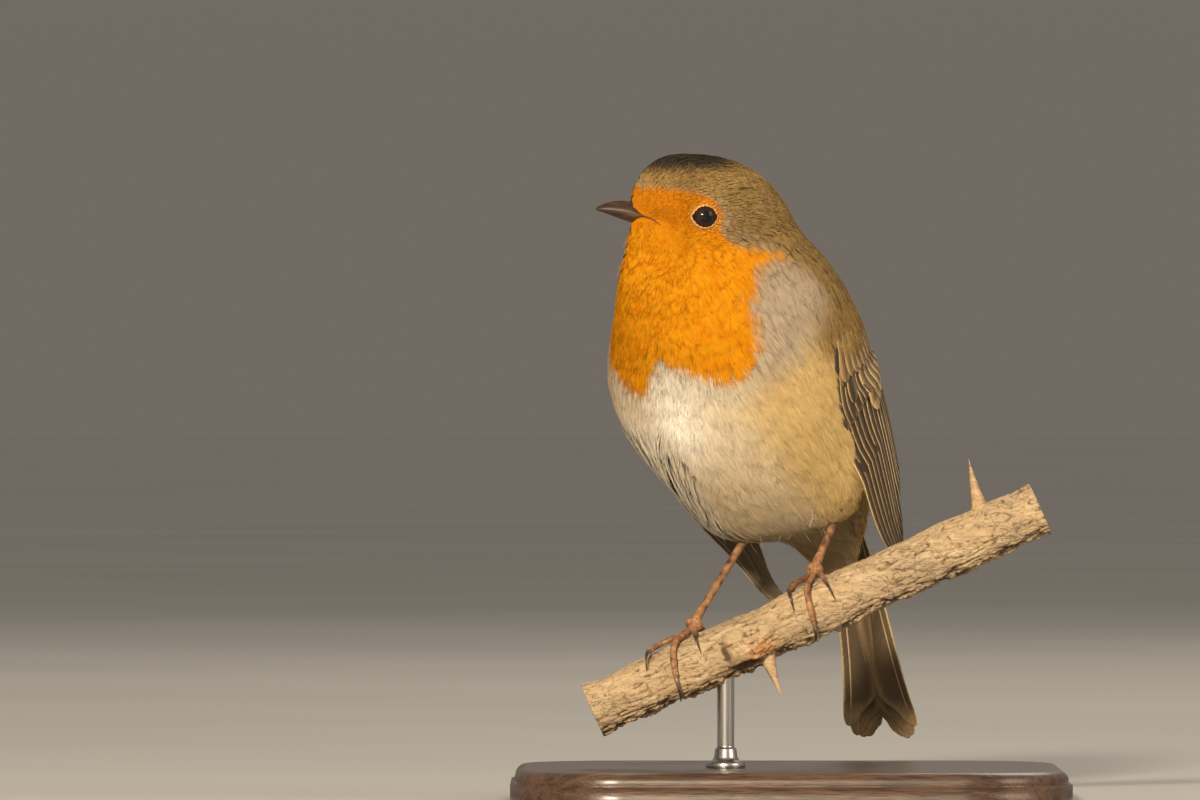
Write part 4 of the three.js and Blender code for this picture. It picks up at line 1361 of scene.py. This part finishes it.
def add_vanes(name, vanes):
    """One piece from many vanes: each is its grid of points, its marks, its own look,
    and its places across and along in centimetres for the barbs."""
    parts = [lofted(grid) for grid, _, _, _ in vanes]
    points, faces, _ = joined(parts)
    side = int(np.ceil(np.sqrt(len(vanes) / 2)))
    marks, looks, barbed, bake = [], [], [], []
    for k, (grid, mark, look, place) in enumerate(vanes):
        flat, place = mark.reshape(-1, 4), place.reshape(-1, 2)
        marks.append(with_ends(flat))
        looks.append(np.tile(look, (len(flat) + 2, 1)))
        barbed.append(with_ends(place))
        ring = np.tile(np.linspace(0.04, 0.96, grid.shape[1]), grid.shape[0])
        cell = np.column_stack([ring, 0.02 + 0.96 * flat[:, 2]])
        cell = (cell + [k % (2 * side), k // (2 * side)]) / [2 * side, side]
        bake.append(with_ends(cell))
    order = np.concatenate([f.ravel() for f in faces])
    marks, looks, barbed, bake = (np.concatenate(x) for x in (marks, looks, barbed, bake))
    piece = add_piece(name, points, faces, vane_material,
                      {"OFBake": bake[order], "vane": barbed[order]},
                      {"vane_marks": marks, "vane_look": looks})
    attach(piece, "root")
    return piece


VANE_DARK = (0.026, 0.016, 0.010, 1)
VANE_BROWN = (0.080, 0.049, 0.023, 1)
VANE_OLIVE = (0.355, 0.228, 0.088, 1)
VANE_FRINGE = (0.80, 0.57, 0.28, 1)
VANE_UNDER = (0.118, 0.083, 0.048, 1)
SHAFT_PALE = (0.72, 0.55, 0.33, 1)


def barbed_vane():
    """Brown horn in fine slanting barbs, with a buff fringe outside, a paler underside,
    and a shaft that is dark above and pale beneath."""
    material, tree, shader = new_material("barbed_vane", Roughness=0.5, Specular_IOR_Level=0.3,
                                          Sheen_Weight=0.08)
    edge, outer, along, beneath = marks_of(tree, "vane_marks")
    shade, fringe, olive, spotted = marks_of(tree, "vane_look")
    own = add_node(tree, "SeparateXYZ", {0: add_node(tree, "UVMap", uv_map="vane").outputs[0]}).outputs
    aside = reckon(tree, "ABSOLUTE", own[0])
    slant = reckon(tree, "MULTIPLY", weighed(tree, (own[1], 1.0), (aside, -1.5)), 22.0)
    across = reckon(tree, "MULTIPLY", aside, 2.0)
    barb = add_node(tree, "CombineXYZ", {0: across, 1: slant, 2: shade}).outputs[0]
    fine = noise_of(tree, barb, 2.2, 3, 0.6)
    coarse = noise_of(tree, barb, 0.35, 2, 0.5)
    # Along the shaft the web is dark, and it turns to brown or olive towards its edges.
    web = mix_colours(tree, olive, VANE_BROWN, VANE_OLIVE)
    frayed = weighed(tree, (edge, 1.0), (reckon(tree, "SUBTRACT", fine, 0.5), 0.5))
    depth = weighed(tree, (1.0, 0.95), (olive, -0.35))
    centre = reckon(tree, "MULTIPLY", fade(tree, frayed, 0.7, 0.25), depth)
    colour = mix_colours(tree, centre, web, VANE_DARK)
    rim = fade(tree, frayed, 0.68, 0.92)
    inner_rim = reckon(tree, "MULTIPLY", rim, 0.25)
    rim = reckon(tree, "MAXIMUM", reckon(tree, "MULTIPLY", rim, outer), inner_rim)
    spot = fade(tree, along, 0.88, 0.95)
    rim, spot = reckon(tree, "MULTIPLY", rim, fringe), reckon(tree, "MULTIPLY", spot, spotted)
    rim = reckon(tree, "MAXIMUM", rim, spot)
    colour = mix_colours(tree, rim, colour, VANE_FRINGE)
    under = mix_colours(tree, reckon(tree, "MULTIPLY", rim, 0.8), VANE_UNDER, VANE_FRINGE)
    shaft = fade(tree, edge, 0.07, 0.03)
    colour = mix_colours(tree, shaft, colour, VANE_DARK)
    under = mix_colours(tree, shaft, under, SHAFT_PALE)
    colour = mix_colours(tree, beneath, colour, under)
    light = weighed(tree, (fine, 0.55), (coarse, 0.5), (1.0, 0.32), (shade, 0.3))
    surface(tree, shader, shaded(tree, colour, light), fine, 0.00012, 0.6)
    return material


vane_material = barbed_vane()


def wing_vanes(wing, seed):
    """All the vanes of one wing, laid on its shell row by row."""
    rng = np.random.default_rng(seed)
    vanes = []
    for roots, tips, first, step, outer, inner, lift, blunt, (fringe, olive, spot) in WING_ROWS:
        for k, (root, tip) in enumerate(zip(roots, tips)):
            tip = tip + rng.normal(0, 0.25) + (wing["tip"] + 60) * smooth(-tip, 20, 40)
            x, y, over, marks = vane(root - tip, outer, inner, blunt)
            a = root - y
            spread = np.interp(wing_share(wing, a), SPREAD_AT, SPREAD)
            radius = (wing_line(wing, a, 1) + wing_line(wing, a, 2)) / 2
            aside = np.degrees((x + outer) / radius)
            angle = wing_low(wing, a) + (first + step * k + rng.normal(0, 0.25)) * spread + aside
            tilt = 0.17 / max(1.6, np.radians(step) * WING_RADIUS)
            height = lift - tilt * (x + outer) + over + 0.2 * smooth(y, root - tip - 6, root - tip)
            height = height - (lift + 2.8) * smooth(-y, -9, -2)
            look = (rng.uniform(0, 1), fringe * rng.uniform(0.25, 1.0), olive, spot)
            edge = np.radians(angle - wing_low(wing, a)) * radius
            top = np.radians(WING_SPAN - angle + wing_low(wing, a)) * radius
            shell = on_wing(wing, a, angle, 0.0)
            grid = on_wing(wing, a, angle, height) + (hugged(shell, edge, top) - shell)
            vanes.append((grid, marks, look, np.stack([x, y], -1) / 10))
    return vanes


for k, (name, wing) in enumerate(WINGS.items()):
    piece = add_vanes(f"wing_{name}_vanes", wing_vanes(wing, 70 + k))
    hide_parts(f"wing_{name}")


def covert_rise(p):
    """How far a wing's coverts stand over the plumage at points on the shoulders, and
    how far in from the wing's lower edge and upper edge the points are."""
    along, left, back = from_trunk(p)
    angle = np.degrees(np.arctan2(back, np.abs(left)))
    rise = edge = top = np.zeros(along.shape)
    for wing in WINGS.values():
        low = wing_low(wing, along)
        far = np.radians([angle - low, WING_SPAN - angle + low]) * WING_RADIUS
        shell = outside(on_wing(wing, along, angle, 0.0))
        high = np.maximum(np.minimum(shell, room_over(along, *far)) + 0.7, 0)
        ours = left * wing["side"] > 0
        rise, (edge, top) = np.where(ours, high, rise), np.where(ours, far, [edge, top])
    return rise * smooth(-along, -22, -16), edge, top


def on_shoulder(p):
    """True round the wings' roots and upper edges, where the shoulder feathers start."""
    along = (p - TRUNK) @ BODY_AXES[0]
    rise, edge, top = covert_rise(p)
    return (rise < 0.7) & (along > 8 - 22 * (top < 6)) & (along < 20) & (edge > 3) & (top > -6)


add_coat("coat_shoulders", 40, (spine_row(0.12), spine_row(0.62)), all_cols, 3400, 44, on_shoulder,
         loose=lambda p: 0.2 + 0 * p[:, 0],
         raised=lambda p: covert_rise(p)[0] * [0.1, 1.0, 1.0] + [0, 0.15, 0.15])

# -------------------------------------------------------------------------------- tail
# Twelve tail feathers, closed over each other: the middle pair is on top, each pair
# outwards lies below the last, and the outermost two show from beneath.

TAIL_ROOT = np.array([13.6, 26.5, 65.0])
TAIL_TIPS = (55.0, 56.6, 57.8, 58.0, 57.0, 54.2)  # from the middle pair outwards
TAIL_WIDTHS = ((3.2, 3.4), (2.7, 4.4), (2.4, 5.2), (2.1, 5.8), (1.9, 6.2), (1.7, 6.4))


def tail_vanes(seed):
    """The vanes of the tail. Each shaft leaves the tail's root and spreads outwards."""
    rng = np.random.default_rng(seed)
    vanes = []
    for pair, length in enumerate(TAIL_TIPS):
        for side in (-1, 1):
            outer, inner = TAIL_WIDTHS[pair]
            x, y, over, marks = vane(length + 4 + rng.normal(0, 0.25), outer, inner, 0.9, 32)
            s = y / length
            x = x * np.where(x > 0, 1 - 0.55 * smooth(s, 0.92, 1.03), 1.0)
            shaft = mix(0.5 + 0.4 * pair, 1.5 + 0.92 * pair, s**0.9) + 0.25 * s**6 * pair
            aside = side * (shaft - x * (0.6 + 0.4 * smooth(s, 0.05, 0.5)))
            arch = mix(1.6, 0.9, s) * (1 - (aside / 8.6) ** 2)
            under = 0.26 * pair + (0.13 if side > 0 else 0.0)
            height = arch - under * mix(1.0, 0.75, s) + over - 0.03 * (x + outer) * (pair < 3)
            bend = 0.5 * smooth(s, 0.5, 1.0) * s
            p = np.stack([4 - y, aside, height - bend], -1) @ TAIL_AXES + TAIL_ROOT
            look = (rng.uniform(0, 1), 1.0 if pair > 3 else 0.5, 0.3, 0.45)
            vanes.append((p, marks, look, np.stack([x, y], -1) / 10))
    return vanes


tail = add_vanes("tail_vanes", tail_vanes(90))
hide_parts("tail")

# -------------------------------------------------------------------------------- eyes
# Wet dark balls: a black pupil in a dark brown iris, under a clear cornea. A thin rim of
# pale bare skin, set with tiny feathers, rings each one.

EYE_BROWN = (0.012, 0.005, 0.003, 1)
EYE_BLACK = (0.004, 0.003, 0.003, 1)
EYE_LIGHT = (0.032, 0.014, 0.007, 1)
EYE_SOCKET = (0.42, 0.17, 0.03, 1)
LID_PALE = (0.74, 0.42, 0.125, 1)
LID_DEEP = (0.30, 0.11, 0.02, 1)


def eye_ball(middle, radius, out, rows=60, cols=72):
    """A ball as rings round its outward pole, the cornea a little higher. Marks hold
    how far round from the pole each ring is."""
    tilt = np.linspace(0.02, np.pi - 0.02, rows)[:, None]
    turn = full_turn(cols)[None]
    first, second = HEAD_AXES[0], np.cross(out, HEAD_AXES[0])
    size = radius + 0.06 * bell(tilt / 0.6)
    ray = swung(tilt, out, swung(turn, first, second))
    marks = (tilt / np.pi + 0 * turn)[..., None] * [1, 0, 0, 0] + [0, 0, 0, 1]
    return middle + ray * size[..., None], with_ends(marks.reshape(-1, 4))


def dark_eye():
    material, tree, shader = new_material("dark_eye", Roughness=0.5, Specular_IOR_Level=0.1,
                                          Coat_Weight=0.3, Coat_Roughness=0.03)
    tilt = marks_of(tree, "tilt")[0]
    rays = noise_of(tree, places_of(tree, (0, 0, 0), (1, 1, 1)), 5000, 3, 0.6)
    iris = stops(tree, rays, (0.35, EYE_BROWN), (0.7, EYE_LIGHT))
    pupil = fade(tree, tilt, 0.135, 0.125)
    rim = fade(tree, tilt, 0.235, 0.27)
    colour = mix_colours(tree, reckon(tree, "MAXIMUM", pupil, rim), iris, EYE_BLACK)
    socket = fade(tree, tilt, 0.335, 0.35)
    colour = mix_colours(tree, socket, colour, EYE_SOCKET)
    surface(tree, shader, colour)
    return material


def eyelid(middle, radius, out, rows=72, cols=12):
    """A thin fleshy ring that lies on the ball, wider along the head than up. Its
    section is a small flat oval, and fine wrinkles cross it."""
    turn = full_turn(rows)[:, None]
    section = full_turn(cols)[None]
    corner = 0.32 * bell(((turn + np.pi) % (2 * np.pi) - np.pi) / 0.3)
    corner = corner + 0.24 * bell((turn - np.pi) / 0.26)
    reach = np.hypot((2.72 + corner) * np.cos(turn), 2.54 * np.sin(turn))
    reach = np.arcsin(np.clip(reach / radius, 0, 0.97))
    wrinkle = 0.09 * np.sin(turn * 17) + 0.08 * np.sin(turn * 31 + 1)
    lean = reach + (0.24 + (0.5 + wrinkle) * np.cos(section)) / radius
    high = radius + 0.03 + (0.14 + 0.5 * wrinkle) * np.sin(section) - 0.1 * np.cos(section)
    first = HEAD_AXES[0]
    ray = swung(lean, out, swung(turn, first, np.cross(out, first)))
    return middle + ray * high[..., None]


def closed_ring(grid):
    """Points and faces of a ring whose rows and columns both close."""
    rows, cols = grid.shape[:2]
    i, j = np.meshgrid(np.arange(rows), np.arange(cols), indexing="ij")
    row, row_after, col_after = i * cols, (i + 1) % rows * cols, (j + 1) % cols
    quads = [row + j, row + col_after, row_after + col_after, row_after + j]
    quads = np.stack(quads, -1).reshape(-1, 4)
    points = grid.reshape(-1, 3)
    if volume(points, [quads]) < 0:
        quads = quads[:, ::-1]
    return points, [quads]


def lid_skin():
    material, tree, shader = new_material("lid_skin", Roughness=0.6, Specular_IOR_Level=0.3)
    grain = noise_of(tree, places_of(tree), 4200, 3, 0.6)
    colour = stops(tree, grain, (0.38, LID_DEEP), (0.58, LID_PALE))
    surface(tree, shader, colour, grain, 0.0001, 0.6)
    return material


eye_material, lid_material = dark_eye(), lid_skin()
for name, (middle, radius) in eye_balls.items():
    out = HEAD_AXES[1] * (1 if name == "left" else -1)
    grid, marks = eye_ball(middle, radius, out)
    ball = add_piece(f"eye_ball_{name}", *lofted(grid)[:2], eye_material, attributes={"tilt": marks})
    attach(ball, "root")
    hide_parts(f"eye_{name}")
    lid = add_piece(f"eyelid_{name}", *closed_ring(eyelid(middle, radius, out)), lid_material)
    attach(lid, "root")

# -------------------------------------------------------------------------------- bill
# A short fine bill of dark brown horn. The upper half overlaps the lower one along a
# sharp edge, holds a slit nostril, and meets it in a soft corner well back in the face.

BILL_ROOT_AT, BILL_TIP_AT = 9.6, 25.6  # ahead of the head's middle
MOUTH_CORNER, MOUTH_LENGTH = 13.2, 12.4
HORN_DARK = (0.020, 0.012, 0.009, 1)
HORN = (0.058, 0.032, 0.020, 1)
HORN_PALE = (0.24, 0.125, 0.050, 1)
NOSTRIL = (0.02, 0.012, 0.01, 1)


def gape_line(a):
    """Height of the line where the two halves of the bill meet, along the head."""
    s = np.clip((a - MOUTH_CORNER) / MOUTH_LENGTH, 0, 1)
    return -1.9 + 2.7 * s**0.75 - 0.35 * s**6 - 0.7 * np.maximum(MOUTH_CORNER - a, 0) ** 1.15


def half_bill(up, rows=64, cols=40):
    """Half a bill as rings along it: half an ellipse above or below the gape line, with
    a ridge on the upper half, a nostril on each side, and a keel on the lower one."""
    t = 1 - (1 - np.linspace(0, 0.995, rows)[:, None]) ** 1.25
    a = mix(BILL_ROOT_AT, BILL_TIP_AT, t)
    s = np.clip((a - MOUTH_CORNER) / MOUTH_LENGTH, 0, 1)
    back = np.maximum(MOUTH_CORNER - a, 0)
    width = 2.75 * (1 - s) ** 0.8 + 0.24 + 0.5 * back
    height = (2.9 * (1 - s**2.2) if up > 0 else 2.1 * (1 - s**1.7)) + 0.36
    height = height * mix(0.12, 1.0, smooth(a, 14.6, 18.0))
    angle = np.linspace(0, np.pi, cols)[None]
    off, rim = np.abs(angle - np.pi / 2), np.minimum(angle, np.pi - angle)
    ridge = 1 + 0.06 * bell(off / 0.22) * up
    flat = 1 - 0.10 * bell((off - 0.75) / 0.3)
    nostril = 0.24 * bell((a - 17.6) / 0.85) * bell((off - 0.62) / 0.17) * (up > 0)
    overlap = 0.10 * (up > 0) * bell(rim / 0.3)
    out = ridge * flat * (1 - nostril)
    across = (width + overlap) * out * np.cos(angle)
    lift = gape_line(a) + up * (0.03 + height * out * np.sin(angle)) - overlap
    mouth_x = np.linspace(-1, 1, 13)[None, 1:-1]
    inner = (width - 0.05) * mouth_x * 0.96
    groove = gape_line(a) + up * 0.25 * (1 - mouth_x**2)
    grid = np.concatenate([on_head(a, across, lift), on_head(a, inner, groove)], 1)
    pale = bell(t / 0.34) * (1.0 if up < 0 else 0.3) + 0.5 * bell(rim / 0.16) * (1 - t)
    marks = np.stack([pale, nostril * 4, 0 * pale, 0 * pale + 1], -1)
    inside = np.zeros((rows, mouth_x.size, 4)) + [0.3, 0, 0, 1]
    return grid, with_ends(np.concatenate([marks, inside], 1).reshape(-1, 4))


def bill_horn():
    """Dark brown horn, satin, with growth lines along it, paler at its root and edges."""
    material, tree, shader = new_material("bill_horn", Roughness=0.36, Specular_IOR_Level=0.28)
    pale, nostril, _, _ = marks_of(tree, "bill")
    streaks = noise_of(tree, places_of(tree, (0, 0, np.radians(10)), (0.25, 1, 1)), 1500, 4, 0.6)
    colour = stops(tree, streaks, (0.3, HORN_DARK), (0.65, HORN))
    colour = mix_colours(tree, pale, colour, HORN_PALE)
    # Painted shade: the nostril's slit is coloured near black for the depth of its opening.
    colour = mix_colours(tree, nostril, colour, NOSTRIL)
    surface(tree, shader, colour, streaks, 0.00008, 0.5)
    return material


bill_material = bill_horn()
for name, up in (("upper", 1), ("lower", -1)):
    grid, marks = half_bill(up)
    half = add_piece(f"bill_{name}_horn", *lofted(grid)[:2], bill_material,
                     attributes={"bill": marks})
    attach(half, "root")
    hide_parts(f"bill_{name}")

# ---------------------------------------------------------------------- stray hairs
# Fine dark bristles beside the gape, wisps on the chin, a few long white plumes that have
# worked loose at the lower edge of the belly, and the short lashes that ring each eye.

BRISTLES, WISPS, PLUMES, LASHES = 7, 60, 18, 150  # bristles and lashes are for each side


def hair(root, way, curl, length, radius, rows=9, cols=5):
    """A tapering closed hair that starts one way and curls towards another."""
    s = np.linspace(0, 1, rows)[:, None]
    line = root + length * (s * way + 0.5 * s**2 * curl)
    return lofted(tube(line, radius * (1.02 - s[:, 0]) ** 0.7, cols, np.array([0.3, 0.2, 0.9])))


def on_unwrap(points, faces, uv):
    """Shrinks a hair's own unwrap to a small patch at its root's place on the skin's."""
    near = np.argmin(np.sum((outer_grid.reshape(-1, 3) - points[0]) ** 2, -1))
    row, col = divmod(near, SKIN_COLS)
    place = np.clip([col / SKIN_COLS, row / len(outer_grid)], 0.002, 0.998)
    return points, faces, place + (uv - 0.5) * BAKE_PATCH


def add_hairs(name, hairs, bright, shares):
    """One piece of many hairs, with a tint of their own in the coat's material."""
    points, faces, uv = joined([on_unwrap(*hair) for hair in hairs])
    marks = np.tile(shares, (len(points), 1))
    strand = np.tile([bright, 0.5, 0.5, 0.0], (len(points), 1))
    piece = add_piece(name, points, faces, coat_material, {"OFBake": uv},
                      {"markings": marks, "strand": strand})
    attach(piece, "root")


hair_rng = np.random.default_rng(7)
bristles, wisps, plumes, lashes = [], [], [], []
for side in (-1, 1):
    curl = HEAD_AXES.T @ [0.3, -side * 0.35, -0.5]
    for k in range(BRISTLES):
        ray = HEAD_AXES.T @ [0.55, side * (0.95 - 0.08 * k), 0.42 - 0.16 * k]
        root = cast_at(on_head(9.5, 0, -1.6), ray)
        way = HEAD_AXES.T @ [0.8, side * 0.5, 0.15 - 0.09 * k]
        bristles.append(hair(root, way, curl, 2.8 + 0.3 * (k % 3), 0.035))
for k in range(WISPS):
    up, side = hair_rng.uniform(-13, -4), hair_rng.uniform(-0.75, 0.75)
    root = cast_at(on_head(6, 0, up), HEAD_AXES.T @ [1, side, -0.05])
    way = HEAD_AXES.T @ [0.55, 0.7 * side, -0.75 + hair_rng.normal(0, 0.2)]
    wisps.append(hair(root, way, HEAD_AXES.T @ [-0.1, 0, -0.5], hair_rng.uniform(1.8, 3.8), 0.04))
for k in range(PLUMES):
    turn, along = hair_rng.uniform(-0.5, 1.15), hair_rng.uniform(-34, -20)
    ray = BODY_AXES.T @ [-0.25, np.sin(turn), -np.cos(turn)]
    root = cast_at(on_trunk(along, 0, 0), ray)
    way = -0.9 * BODY_AXES[0] + 0.06 * ray + 0.2 * hair_rng.normal(0, 1, 3)
    plumes.append(hair(root, way, 0.5 * hair_rng.normal(0, 1, 3) + 0.4 * BODY_AXES[2],
                       hair_rng.uniform(2.5, 4.5), 0.04))
for name, (middle, radius) in eye_balls.items():
    out = HEAD_AXES[1] * (1 if name == "left" else -1)
    for turn in full_turn(LASHES) + hair_rng.normal(0, 0.03, LASHES):
        across = swung(turn, HEAD_AXES[0], HEAD_AXES[2])
        reach = (EYE_CLEAR + 0.3 * (np.abs(np.cos(turn)) > 0.93)) * across * [1, 1, 0.88]
        root = settled((middle + reach + 0.6 * out)[None], np.array([-0.25]))[0]
        way = 0.9 * across + HEAD_AXES.T @ [-0.5, 0, 0.1] + 0.12 * hair_rng.normal(0, 1, 3)
        lashes.append(hair(root, way + 0.42 * out, -0.45 * out, hair_rng.uniform(0.8, 1.5), 0.055, 6))
add_hairs("eye_fringe", lashes, 1.15, (0.75, 0, 0, 1.0))
add_hairs("bristles", bristles, -0.5, (0, 0, 0, 0))
add_hairs("chin_wisps", wisps, 1.0, (1, 0, 0, 0))
add_hairs("loose_plumes", plumes, 1.1, (0, 1, 0, 0))

# ------------------------------------------------------------------- floor and lights
# A plain pale floor in a plain pale room, a soft warm key light in front on the left, a
# weaker one from the right, and a third from behind for the rim of the back.

FLOOR_PALE = (0.49, 0.47, 0.44, 1)
FLOOR_DIM = (0.45, 0.43, 0.405, 1)
FLOOR_HALF = 30000.0
LIT_POINT = np.array([-15, -15, 95])  # the lights aim at the breast

floor_points = np.array([[-1, -1, 0], [1, -1, 0], [1, 1, 0], [-1, 1, 0]]) * FLOOR_HALF
floor_points = floor_points + [0, 0, base_low[2]]


def plain_floor():
    material, tree, shader = new_material("plain_floor", Roughness=0.75, Specular_IOR_Level=0.2)
    drift = noise_of(tree, places_of(tree), 3, 3, 0.5)
    colour = stops(tree, drift, (0.3, FLOOR_DIM), (0.7, FLOOR_PALE))
    surface(tree, shader, colour)
    return material


floor = add_piece("floor", floor_points, [np.array([[0, 1, 2, 3]])], plain_floor(), flat=True)

world = bpy.data.worlds.new("room")
world.use_nodes = True
air = world.node_tree
rise = add_node(air, "SeparateXYZ", {0: add_node(air, "TexCoord").outputs["Generated"]}).outputs[2]
room = stops(air, rise, (0.03, (0.165, 0.146, 0.125, 1)), (0.2, (0.26, 0.24, 0.212, 1)),
             (1.0, (0.36, 0.335, 0.30, 1)))
air.links.new(room, air.nodes["Background"].inputs["Color"])
air.nodes["Background"].inputs["Strength"].default_value = 1.0
bpy.context.scene.world = world


def soft_light(name, azimuth, elevation, away, size, power, colour):
    """A square area light aimed at the bird's breast. Azimuth 0 is the camera's side, and
    grows towards +X."""
    data = bpy.data.lights.new(name, "AREA")
    data.size, data.energy, data.color = size, power, colour
    light = bpy.data.objects.new(name, data)
    turn, lift = np.radians(azimuth), np.radians(elevation)
    way = np.array([np.sin(turn) * np.cos(lift), -np.cos(turn) * np.cos(lift), np.sin(lift)])
    light.location = LIT_POINT * MM + way * away
    light.rotation_euler = (np.pi / 2 - lift, 0, turn)
    bpy.context.scene.collection.objects.link(light)


soft_light("key", -14, 20, 1.6, 0.14, 34, (1.0, 0.85, 0.64))
soft_light("fill", 62, 24, 2.0, 1.0, 15, (1.0, 0.87, 0.70))
soft_light("rim", 160, 45, 2.0, 1.0, 12, (1.0, 0.92, 0.80))
bpy.context.scene.view_settings.view_transform = "Standard"
